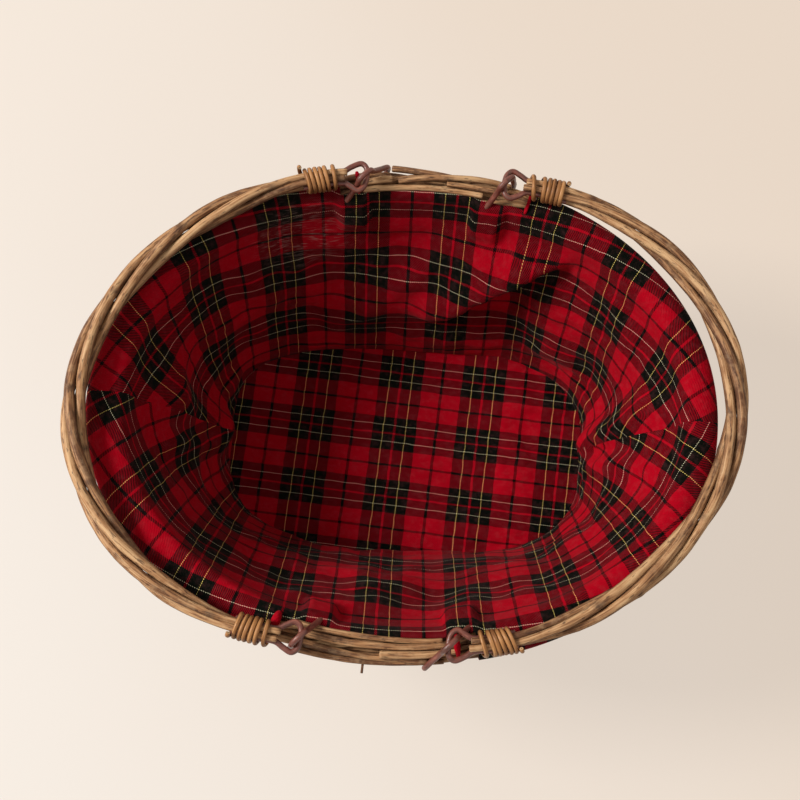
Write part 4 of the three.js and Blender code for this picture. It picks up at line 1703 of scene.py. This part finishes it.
@dataclass
class Handle(Part):
    """One handle: four twisted rods, bound with cane over a wire eye at both ends."""

    side: Side
    hinge: Triple = (46.0, 149.0, 177.259)
    reach: float = 163.0
    roundness: float = 1.9
    skew: float = 0.08
    rods: int = 4
    rod_radius: float = 3.25
    tip_radius: float = 2.3
    tip_spread: float = 2.15
    tip_rise: float = 3.64
    spread: float = 3.42
    twists: float = 1.5
    start: float = 12.0
    stagger: float = 1.6
    bound: float = 41.2
    wire: float = 1.85
    leg_gap: float = 4.1
    leg_length: float = 41.0
    eye_half: float = 9.2
    cane_radius: float = 1.42
    cane_flat: float = 0.86
    cane_ring: Pair = (7.45, 7.6)
    cane_ends: Pair = (0.18, 0.15)
    tones: tuple[float, ...] = (0.7, -0.7, 0.2, -0.2)
    line: Array = field(init=False)
    lengths: Array = field(init=False)

    def __post_init__(self) -> None:
        """Draw the handle's middle line, from its front hinge to its back one."""
        angle = np.linspace(-0.5, 0.5, 2001) * math.pi
        power = 2 / self.roundness
        y = np.sign(angle) * self.hinge[1] * np.abs(np.sin(angle)) ** power
        x = self.hinge[0] + self.reach * np.clip(np.cos(angle), 0, 1) ** power + self.skew * y
        self.line = np.stack([x, y, np.full_like(x, self.hinge[2])], -1)
        self.lengths = path_lengths(self.line)

    @property
    def length(self) -> float:
        """The length of the middle line."""
        return float(self.lengths[-1])

    def place(self, distance: Reals, outward: Reals, above: Reals) -> Array:
        """Find points beside and above the middle line.

        Args:
            distance: How far along it they are.
            outward: How far outside it they lie.
            above: How far above it they lie.

        Returns:
            The points.
        """

        def at(step: float) -> Array:
            """Return the middle line's points a step further on."""
            where = np.clip(np.asarray(distance, float) + step, 0, self.length)
            return np.stack([np.interp(where, self.lengths, self.line[:, axis]) for axis in range(3)], -1)

        beside = unit(np.cross(at(0.6) - at(-0.6), UP))
        outward, above = (np.asarray(value, float)[..., None] for value in (outward, above))
        return at(0.0) + beside * outward + UP * above

    def rod_path(self, rod: int) -> tuple[Array, Array]:
        """Draw one rod.

        Args:
            rod: Its number, from 0.

        Returns:
            Its middle line and its radius along it.
        """
        shift = rod * self.stagger
        last = self.length - self.start - (self.rods - 1) * self.stagger + shift
        distance = np.linspace(self.start + shift, last, 230)
        swell = ease(np.minimum(distance, self.length - distance), self.bound, 2.6 * self.bound)
        share = np.clip((distance - self.bound) / (self.length - 2 * self.bound), 0, 1)
        phase = FULL_TURN * (self.twists * share + (rod + 0.5) / self.rods)
        outward = between(self.tip_spread, self.spread, swell) * math.sqrt(2) * np.cos(phase)
        above = between(self.tip_rise, self.spread, swell) * math.sqrt(2) * np.sin(phase)
        return self.place(distance, outward, above), between(self.tip_radius, self.rod_radius, swell)

    def eye_path(self, far: bool) -> Array:
        """Draw the wire eye at one end.

        Args:
            far: Whether it is the far end.

        Returns:
            The points of its middle line.
        """
        hinge = self.line[-1 if far else 0]
        along = unit(np.array([self.skew, 1.0, 0.0])) * (1 if far else -1)

        def at(distance: float, outward: float) -> Array:
            """Return a point so far from the hinge along the handle."""
            return self.place(self.length - distance if far else distance, outward, 0.0)

        def leg(side: int) -> list[Array]:
            """Return one leg of the eye, from its tip in the bundle to the bar."""
            return [
                at(self.leg_length, side * self.leg_gap),
                at(self.start + 14, side * self.leg_gap),
                at(self.start + 2, side * self.leg_gap),
                at(self.start - 3, side * (self.eye_half + self.leg_gap) * 0.52),
                hinge + along * side * self.eye_half + np.array([3.5, 0, 0]),
                hinge + along * side * (self.eye_half - 3),
            ]

        return smooth_path([*leg(1), *leg(-1)[::-1]], 150)

    def binding_path(self, far: bool, look: BindingLook) -> tuple[Array, Array]:
        """Wind the binding at one end.

        Args:
            far: Whether it is the far end.
            look: How it is wound.

        Returns:
            Its middle line and the direction out of the bundle along it.
        """
        before, after = self.cane_ends
        turn = np.linspace(-before, look.turns + after, int(look.turns * 34))
        distance = look.first + 2.4 + look.pitch * turn - look.loose * (1 - ease(turn, 0, 1.2))
        angle = FULL_TURN * turn
        distance = distance + 0.45 * Waver(look.seed, 2.4, 0.9)(turn) + look.slant * 8 * np.cos(angle)
        lift = 0.25 * Waver(look.seed + 1, 1.6, 0.5)(turn)
        lift = lift + 1.2 * ease(-turn, 0, before) + look.tail * ease(turn, look.turns, look.turns + after)
        where = self.length - distance if far else distance
        wide, tall = self.cane_ring
        path = self.place(where, (wide + lift) * np.cos(angle), (tall + lift) * np.sin(angle))
        middle = self.place(where, np.zeros_like(turn), np.zeros_like(turn))
        return path, unit(path - middle)

    def build(self, looks: tuple[BindingLook, BindingLook]) -> None:
        """Build and dress the handle.

        Args:
            looks: How the near and the far binding were wound.
        """
        name, body = f"handle_{self.side.value}", self.side.body
        seed = Seed.HANDLE if self.side is Side.RIGHT else Seed.HANDLE + 50
        for rod, tone in enumerate(self.tones):
            path, radius = self.rod_path(rod)
            path, node = self.side.place(path), f"{name}_rod_{rod + 1:02d}"
            made = Rod(path, radius, seed + rod, 16, rough=0.035, wander=0.22, knot_gap=75, tone=tone)
            self.finishes.dress_rods([made], f"{node}_willow", "willow", [node], body)
        for far, look in zip((False, True), looks):
            end = self.side.end(far)
            eye = Rod(self.side.place(self.eye_path(far)), self.wire, seed + 20, sides=14)
            node = f"{name}_eye_{end}"
            self.finishes.dress_rods([eye], f"{node}_wire", "wire", [node], body)
            path, out = (self.side.place(part) for part in self.binding_path(far, look))
            radius, flat = self.cane_radius, self.cane_flat
            cane = Rod(path, radius, look.seed + 30, 12, False, flat, out, rough=0.05, tone=0.2)
            node = f"{name}_binding_{end}"
            self.finishes.dress_rods([cane], f"{node}_cane", "cane", [node], body)
        log.info("%s handle: %d rods, 2 eyes and 2 bindings", self.side.value, self.rods)


# The liner


@dataclass(frozen=True)
class Fold:
    """One soft fold of the wall's cloth, from one share of the height to another.

    Its centre, at half height, its lean from foot to top and its half width are in degrees. Steep is how
    much narrower its right side is than its left.
    """

    centre: float
    lean: float
    width: float
    height: float
    low: float = 0.0
    high: float = 1.0
    steep: float = 1.0


@dataclass
class Liner(Part):
    """The tartan liner: a wall that folds over the border, and the floor sewn into it.

    The cloth goes up the inside, over the border on an arc and down the cuff. It is cut away in a window
    at the back, slit in two notches for the links, and the same at the front, turned half round.

    The ring is how far out and up from the border's middle line the arc reaches, and over its first and
    last angle. Each lip is the x of a curled edge, whether it is at the front, and its radius.
    """

    wall: Wall
    inset: float = 8.9
    thickness: float = 1.1
    foot: float = 13.9
    knee: float = 149.0
    ring: Pair = (11.95, 8.7)
    over: Pair = (168.0, 8.0)
    cuff: Pair = (147.0, 116.5)
    cuff_swell: float = 1.1
    belly: float = 7.0
    column: float = 2.1
    rows: tuple[int, int, int] = (70, 16, 18)
    window: Pair = (-38.1, 72.2)
    window_angle: float = 120.0
    notches: tuple[Pair, ...] = ((41.9, 55.9), (-50.0, -36.0))
    notch_foot: float = 144.5
    notch_top: float = 125.0
    notch_blend: float = 0.035
    notch_push: Pair = (6.2, 3.3)
    slack: float = 4.5
    slack_start: Pair = (156.0, 184.0)
    slack_end: Pair = (228.0, 243.0)
    hem_wave: float = 1.6
    repeat: Pair = (59.8, 59.0)
    back_shift: Pair = (31.8, -40.6)
    front_shift: Pair = (-12.5, -52.2)
    floor_shift: Pair = (7.2, -8.7)
    floor_cells: tuple[int, int] = (132, 76)
    floor_aim: Pair = (126.0, 72.0)
    floor_inset: float = 8.3
    floor_height: float = 14.3
    floor_least: float = 13.7
    floor_creases: tuple[Triple, ...] = ((42.0, 2.2, 3.2), (2.0, 1.2, 3.0))
    floor_turn: float = 4.5
    floor_squash: float = 0.755
    tuck: float = 5.0
    lips: tuple[tuple[float, bool, float], ...] = (
        (72.2, False, 1.0),
        (-38.1, False, 1.4),
        (72.2, True, 2.8),
        (-38.1, True, 1.7),
    )
    lip_turn: Pair = (48.0, 126.0)
    lip_curl: Pair = (-10.0, 235.0)
    lip_cells: tuple[int, int] = (26, 15)
    lip_thickness: float = 0.8
    folds: tuple[Fold, ...] = (
        Fold(78, -48, 9, 15.0, 0.25, 1.05, 3.0),
        Fold(96, -46, 8, 6.0, 0.2, 0.8),
        Fold(4, 6, 7, 9.0, 0.0, 0.98, 1.6),
        Fold(-9, -6, 4, 4.0, 0.1, 0.9),
        Fold(177, -5, 8, 8.5, 0.0, 0.98, 0.7),
        Fold(189, 6, 4, 4.0, 0.1, 0.9),
        Fold(250, -20, 20, 3.0, 0.05, 0.8),
        Fold(292, 12, 18, 2.5, 0.05, 0.8),
    )

    def theta_at(self, x: float) -> float:
        """Return the angle at which the back of the border's inner side is at x."""
        thetas = np.linspace(math.pi, 0, 4001)
        return float(np.interp(x, self.wall.off(thetas, self.wall.height, -6.0)[:, 0], thetas))

    def ranges(self, pair: Pair) -> list[Pair]:
        """Return the two ranges of angle that a range of x has, at the back and, turned, at the front."""
        high, low = (self.theta_at(x) for x in pair)
        return [(low, high), (low + math.pi, high + math.pi)]

    def columns(self) -> Array:
        """Place the cloth's columns, with one on every cut edge and on every seam.

        Returns:
            Their angles.
        """
        edges = [0.0, math.pi / 2, math.pi, 1.5 * math.pi, FULL_TURN]
        for pair in (self.window, *self.notches):
            edges += [angle for both in self.ranges(pair) for angle in both]
        edges = sorted(edges)
        steps = []
        for low, high in zip(edges, edges[1:]):
            first, last = (self.wall.point(angle, self.wall.height) for angle in (low, high))
            span = np.linalg.norm(first - last)
            steps.append(np.linspace(low, high, max(1, round(span / self.column)), endpoint=False))
        return np.concatenate([*steps, [FULL_TURN]])

    def notch_share(self, theta: Array) -> Array:
        """Find the notches.

        Args:
            theta: The angles.

        Returns:
            How far each is into a notch: 1 inside and 0 a little beside it.
        """
        share = np.zeros_like(theta)
        for pair in self.notches:
            for low, high in self.ranges(pair):
                into = ease(theta, low - self.notch_blend, low)
                share = share + into * (1 - ease(theta, high, high + self.notch_blend))
        return share

    def tucked(self, theta: Array) -> Array:
        """Return how far the cloth's foot stands in from the wall at the back and at the left end."""
        angle = np.degrees(theta)
        return self.tuck * np.maximum(hump(angle, 90, 50), hump(angle, 180, 30))

    def loosened(self, theta: Array) -> Array:
        """Return how far the cloth hangs off the border's outside."""
        angle = np.degrees(theta)
        return self.slack * ease(angle, *self.slack_start) * (1 - ease(angle, *self.slack_end))

    def depth(self, theta: Array, share: Array, points: Array) -> Array:
        """Return how far the cloth stands in from its even line.

        Args:
            theta: The angle round the basket.
            share: The share of the way up the wall.
            points: The even cloth's points.

        Returns:
            The distance inward.
        """
        depth = self.belly * np.sin(math.pi * np.clip(share, 0, 1)) ** 0.8
        depth = depth + self.tucked(theta) * (1 - ease(share, 0, 0.4))
        height = between(self.foot, self.knee, share)
        depth = depth + self.notch_push[0] * self.notch_share(theta) * ease(height, 134, 146)
        for fold in self.folds:
            centre = np.radians(fold.centre + fold.lean * (share - 0.5))
            away = np.degrees(np.arctan2(np.sin(theta - centre), np.cos(theta - centre)))
            away = np.where(away < 0, away * fold.steep, away)
            reach = ease(share, fold.low, fold.low + 0.25) * (1 - ease(share, fold.high - 0.25, fold.high))
            depth = depth + fold.height * hump(away, 0, fold.width) * reach
        loose = 2.0 * Ripple(71, 120, 60)(points) + 0.9 * Ripple(72, 55, 24)(points)
        gather = Ripple(73, 26, 12, (4, 4, 1))(points) * (0.3 + 0.8 * hump(share, 0.0, 0.25))
        creases = 0.6 * Ripple(74, 20, 8, (2.2, 2.2, 1.0))(points)
        calm = ease(share, -0.02, 0.08) * (1 - 0.7 * ease(share, 0.85, 1.0))
        return np.maximum(depth + (loose + gather + creases) * calm, -0.3)

    def section(self, theta: Array, depth: Array) -> Array:
        """Draw the cloth: up the inside, over the border and down the cuff.

        Args:
            theta: The angles of its columns.
            depth: How far its inside stands in from its even line.

        Returns:
            Its points, row by row.
        """
        inside, over, down = self.rows
        angle = theta[None]
        heights = np.linspace(self.foot, self.knee, inside)[:, None]
        first = self.wall.off(angle, heights, -(self.inset + depth))
        point, _, level = self.wall.frames(theta, self.wall.height)
        turn = np.radians(np.linspace(*self.over, over))[:, None, None]
        slack = self.loosened(theta)
        reach = self.ring[0] * np.cos(turn) + slack[:, None] * (1 - ease(turn, 0.6, 2.2))
        reach = reach - self.notch_push[1] * self.notch_share(theta)[:, None] * ease(turn, 1.6, 2.4)
        second = point[None] + level[None] * reach + UP * self.ring[1] * np.sin(turn)
        drop = np.linspace(self.cuff[0], self.cuff[1], down)[:, None]
        swell = self.cuff_swell * (1 - ease(np.linspace(0, 1, down), 0.2, 0.9))[:, None]
        third = self.wall.off(angle, drop, self.inset + swell + slack[None])
        points = np.concatenate([first, second, third])
        for _ in range(4):
            for low, high in ((inside - 5, inside + 3), (inside + over - 3, inside + over + 4)):
                middle = points[low:high]
                points[low:high] = (points[low - 1:high - 1] + 2 * middle + points[low + 1:high + 1]) / 4
        return points

    def unrolled(self, points: Array, middles: tuple[int, int, int]) -> tuple[Array, Array]:
        """Lay the cloth out flat, each half from the middle of its side.

        Args:
            points: The even cloth's points, row by row.
            middles: The columns in the middle of the back, at the left end and in the middle of the front.

        Returns:
            The flat places of the cloth's strips, along each one's first and its second edge.
        """
        steps = np.linalg.norm(np.diff(points, axis=0), axis=2)
        up = np.concatenate([np.zeros((1, points.shape[1])), np.cumsum(steps, axis=0)])
        foot = np.linalg.norm(np.diff(points[0], axis=0), axis=1)
        rim = np.linalg.norm(np.diff(points[self.rows[0]], axis=0), axis=1)
        fan = (rim - foot) / up[self.rows[0]][:-1]
        starts, ends = np.zeros((2, points.shape[0], len(foot), 2))
        for middle, low, high in ((middles[0], 0, middles[1]), (middles[2], middles[1], len(foot))):
            for way, strips in ((-1, range(middle, high)), (1, range(middle - 1, low - 1, -1))):
                base, tilt = np.zeros(2), 0.0
                for strip in strips:
                    near, away = (strip, strip + 1) if way < 0 else (strip + 1, strip)
                    edge = base + up[:, near, None] * np.array([math.sin(tilt), math.cos(tilt)])
                    halfway = tilt + fan[strip] / 2
                    base = base + foot[strip] * np.array([math.cos(halfway), -math.sin(halfway)])
                    tilt += fan[strip]
                    other = base + up[:, away, None] * np.array([math.sin(tilt), math.cos(tilt)])
                    pair = [edge * (way, 1), other * (way, 1)]
                    starts[:, strip], ends[:, strip] = pair if way < 0 else pair[::-1]
        return starts, ends

    def cut_cells(self, theta: Array, heights: Array) -> Array:
        """Cut the windows and the notches.

        Args:
            theta: The angles of the cloth's columns.
            heights: The heights of its rows of faces.

        Returns:
            Which faces are cut away, row by row.
        """
        inside, over, _ = self.rows
        middle = (theta[1:] + theta[:-1]) / 2

        def within(pair: Pair) -> Array:
            """Return which columns lie in a range of x."""
            return np.any([(middle > low) & (middle < high) for low, high in self.ranges(pair)], axis=0)

        def past(angle: float) -> Array:
            """Return which rows lie past an angle on the arc over the border."""
            first = inside + int(np.searchsorted(-np.linspace(*self.over, over), -angle))
            return np.arange(len(heights)) >= first

        cut = past(self.window_angle)[:, None] & within(self.window)[None]
        for pair in self.notches:
            cut |= (past(self.notch_top) & (heights > self.notch_foot))[:, None] & within(pair)[None]
        return cut

    def build_wall(self) -> Piece:
        """Build and dress the wall's cloth.

        Returns:
            The new piece.
        """
        theta = self.columns()
        inside, _, down = self.rows
        middles = tuple(int(np.argmin(np.abs(theta - turn * math.pi))) for turn in (0.5, 1, 1.5))
        even = self.section(theta, np.zeros((inside, len(theta))))
        starts, ends = self.unrolled(even, middles)
        share = np.linspace(0, 1, inside)[:, None] * np.ones(len(theta))
        points = self.section(theta, self.depth(theta[None], share, even[:inside]))
        around = path_lengths(even[inside])
        hem = Waver(9, 130, 40)(np.abs(around - around[-1] / 2))
        points[-down:, :, 2] += self.hem_wave * np.linspace(0, 1, down)[:, None] * hem[None]
        row, column = np.nonzero(~self.cut_cells(theta, points[:-1, 0, 2]))
        wide = len(theta)
        after = (column + 1) % (wide - 1)
        above = (row + 1) * wide
        quads = np.stack([row * wide + column, row * wide + after, above + after, above + column], 1)
        low, high = (row, column), (row + 1, column)
        places = np.stack([starts[low], ends[low], ends[high], starts[high]], 1)
        back = (theta[column] < math.pi - 1e-6)[:, None, None]
        shift = np.where(back, np.array(self.back_shift), np.array(self.front_shift))
        laid = (places + shift) * (2 * Sett().half) / np.array(self.repeat)
        apart = np.broadcast_to(np.where(back, 0.0, 40.0), (*laid.shape[:2], 1))
        points, laid = points.reshape(-1, 3), np.concatenate([laid, apart], -1)
        obj = cloth_mesh("liner_wall_cloth", points, quads, laid, self.thickness)
        self.finishes.dress(obj, "tartan", ["liner_wall"])
        lips = self.build_lips()
        return obj

    def build_lips(self) -> Piece:
        """Build and dress the four edges of the cloth that curl back beside the hinges.

        Returns:
            The new piece.
        """
        long, wide = self.lip_cells
        share = np.linspace(0, 1, long)[:, None]
        turn = np.radians(between(*self.lip_turn, share))[..., None]
        curl = np.radians(np.linspace(*self.lip_curl, wide))[None, :, None]
        points, quads, places = [], [], []
        row, column = np.divmod(np.arange((long - 1) * (wide - 1)), wide - 1)
        corner = row * wide + column
        face = np.stack([corner, corner + 1, corner + wide + 1, corner + wide], 1)
        flat = [18.5 + 8.5 * np.linspace(0, 1, wide)[None], 18 + 10 * share, 120.0]
        flat = np.stack(np.broadcast_arrays(*flat), -1).reshape(-1, 3)
        for number, (x, front, size) in enumerate(self.lips):
            theta = self.theta_at(x) + (math.pi if front else 0.0)
            point, _, level = self.wall.frames(theta, self.wall.height)
            toward = np.cross(UP, level) * math.copysign(1, x)
            over = point + level * self.ring[0] * np.cos(turn) + UP * self.ring[1] * np.sin(turn)
            normal = unit(level * self.ring[1] * np.cos(turn) + UP * self.ring[0] * np.sin(turn))
            radius = size * (0.25 + 0.75 * np.sin(math.pi * share) ** 0.7) + 0.2 * np.sin(9 * share + number)
            radius = radius[..., None]
            grid = over + normal * radius * (1 - np.cos(curl)) + toward * radius * np.sin(curl)
            points.append(grid.reshape(-1, 3))
            quads.append(face + number * long * wide)
            places.append(flat[face])
        grids = (np.concatenate(parts) for parts in (points, quads, places))
        obj = cloth_mesh("liner_lips_cloth", *grids, self.lip_thickness)
        self.finishes.dress(obj, "tartan", [])
        return obj

    @staticmethod
    def flat_size(places: Array) -> Triple:
        """Measure flat faces.

        Args:
            places: The places of their corners, in millimetres.

        Returns:
            Their width, length and area, in metres.
        """
        one, two = places[:, 2] - places[:, 0], places[:, 3] - places[:, 1]
        area = float(np.abs(one[:, 0] * two[:, 1] - one[:, 1] * two[:, 0]).sum() / 2) * MM * MM
        span = (places.reshape(-1, 2).max(0) - places.reshape(-1, 2).min(0)) * MM
        return float(span[0]), float(span[1]), area

    def build_floor(self) -> Piece:
        """Build and dress the floor's cloth.

        Returns:
            The new piece.
        """
        wide, deep = self.floor_cells
        u, v = np.meshgrid(np.linspace(-1, 1, wide + 1), np.linspace(-1, 1, deep + 1))
        reach = np.maximum(np.abs(u), np.abs(v))
        theta = np.arctan2(v * self.floor_aim[1], u * self.floor_aim[0])
        edge = self.wall.off(theta, self.foot, np.full(u.shape, -self.floor_inset))
        flat = edge * reach[..., None] * np.array([1, 1, 0])
        z = self.floor_height + 1.0 * Ripple(81, 90, 40)(flat)
        z = z + 0.55 * Ripple(82, 34, 14)(flat) + 0.3 * Ripple(83, 14, 7)(flat)
        lean = -math.radians(self.floor_turn)
        across = flat[..., 0] * math.cos(lean) + flat[..., 1] * math.sin(lean)
        along = -flat[..., 0] * math.sin(lean) + flat[..., 1] * math.cos(lean)
        for centre, tall, thick in self.floor_creases:
            bend = centre + 1.5 * np.sin(flat[..., 0] / 31)
            z = z + tall * hump(along, bend, thick) * (0.4 + 0.6 * ease(flat[..., 0], -60, 60))
        z = z + ease(reach, 0.965, 1.0) - 0.5 * ease(reach, 0.9, 0.96) * (1 - ease(reach, 0.965, 1.0))
        points = (flat + UP * np.maximum(z, self.floor_least)[..., None]).reshape(-1, 3)
        row, column = np.divmod(np.arange(wide * deep), wide)
        corner = row * (wide + 1) + column
        quads = np.stack([corner, corner + 1, corner + wide + 2, corner + wide + 1], 1)
        places = np.stack([across, along], -1).reshape(-1, 2)[quads]
        laid = (places + np.array(self.floor_shift)) * np.array([1.0, 1 / self.floor_squash])
        apart = np.full((*laid.shape[:2], 1), 80.0)
        laid = np.concatenate([laid, apart], -1)
        obj = cloth_mesh("liner_floor_cloth", points, quads, laid, self.thickness)
        self.finishes.dress(obj, "tartan", ["liner_floor"])
        return obj

    def build(self) -> None:
        """Build and dress the liner's wall, with its lips, and its floor."""
        for piece in (self.build_wall(), self.build_floor()):
            log.info("liner: %s with %d faces", piece.name, len(piece.data.polygons))


# The studio


@dataclass(frozen=True)
class Lamp:
    """One soft square light that faces the basket, in metres and watts."""

    name: str
    place: Triple
    size: float
    power: float
    colour: Colour

    def build(self, target: Vector) -> None:
        """Add the light to the scene.

        Args:
            target: The point that it faces.
        """
        data = bpy.data.lights.new(self.name, "AREA")
        data.shape, data.size, data.energy = "SQUARE", self.size, self.power
        data.color = screen(*self.colour)[:3]
        light = add_object(self.name, data)
        light.location = self.place
        light.rotation_euler = (Vector(self.place) - target).to_track_quat("Z", "Y").to_euler()


@dataclass
class Studio(Part):
    """The floor, the lights and the camera."""

    target: Triple = (-3.96, 3.89, 167.0)
    distance: float = 875.4
    elevation: float = 78.44
    roll: float = 2.93
    lens: float = 61.57
    floor_size: float = 6000.0
    world: Colour = (246, 236, 226)
    world_strength: float = 0.31
    lit_height: float = 80.0
    lamps: tuple[Lamp, ...] = (
        Lamp("key_light", (-2.4, 0.35, 2.1), 0.9, 94.0, (255, 250, 244)),
        Lamp("fill_light", (1.5, -0.6, 1.8), 1.8, 4.0, (255, 244, 232)),
    )

    def build_camera(self) -> None:
        """Set the camera where the photograph was taken from."""
        data = bpy.data.cameras.new("camera")
        data.lens, data.sensor_width, data.sensor_fit = self.lens, 36.0, "HORIZONTAL"
        data.clip_start, data.clip_end = 0.01, 50.0
        camera = add_object("camera", data)
        rise, turn = math.radians(self.elevation), math.radians(self.roll)
        away = np.array([0.0, -math.cos(rise), math.sin(rise)])
        right, above = np.array([1.0, 0.0, 0.0]), np.array([0.0, math.sin(rise), math.cos(rise)])
        image_x = math.cos(turn) * right + math.sin(turn) * above
        image_y = -math.sin(turn) * right + math.cos(turn) * above
        matrix = np.eye(4)
        matrix[:3, :3] = np.stack([image_x, image_y, away], 1)
        matrix[:3, 3] = (np.array(self.target) + away * self.distance) * MM
        camera.matrix_world = Matrix(matrix.tolist())
        bpy.context.scene.camera = camera

    def build(self) -> None:
        """Build the floor, the lights and the world."""
        half = self.floor_size / 2 * MM
        corners = [(-half, -half, 0), (half, -half, 0), (half, half, 0), (-half, half, 0)]
        mesh = bpy.data.meshes.new("studio_floor")
        mesh.from_pydata(corners, [], [(0, 1, 2, 3)])
        mesh.materials.append(self.finishes.floor)
        add_object("studio_floor", mesh)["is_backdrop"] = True
        for lamp in self.lamps:
            lamp.build(Vector((0, 0, self.lit_height * MM)))
        world = bpy.data.worlds.new("studio_world")
        world.use_nodes = True
        tree = world.node_tree
        strength = ranged(tree, looked_at(tree), 0.0, 1.0, self.world_strength, 1.0)
        feed(tree, tree.nodes["Background"], {"Color": screen(*self.world), "Strength": strength})
        bpy.context.scene.world = world
        bpy.context.scene.view_settings.view_transform = "Standard"
        log.info("studio: floor, %d lights and the world", len(self.lamps))


def main() -> None:
    """Build the basket piece by piece, and measure how large it came out."""
    looks = {
        Side.RIGHT: (
            BindingLook(slant=0.28, tail=3.2, seed=3),
            BindingLook(loose=5.2, pitch=2.95, slant=0.05, seed=5),
        ),
        Side.LEFT: (
            BindingLook(slant=0.2, tail=3.8, seed=7),
            BindingLook(slant=0.16, tail=2.6, pitch=3.2, seed=9),
        ),
    }
    finishes = Finishes()
    studio = Studio(finishes)
    studio.build_camera()
    wall = Wall()
    BaseWork(finishes, wall).build()
    SideWork(finishes, wall).build()
    border = Border(finishes, wall)
    border.build()
    BorderEnds(finishes, wall, border).build()
    Liner(finishes, wall).build()
    RimLinks(finishes, wall).build()
    for side, bindings in looks.items():
        Handle(finishes, side).build(bindings)
    studio.build()
    boxes = {"cad": cad_box, "visual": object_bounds()}
    {name: [list(corner) for corner in box] for name, box in boxes.items()}


if __name__ == "__main__":
    main()
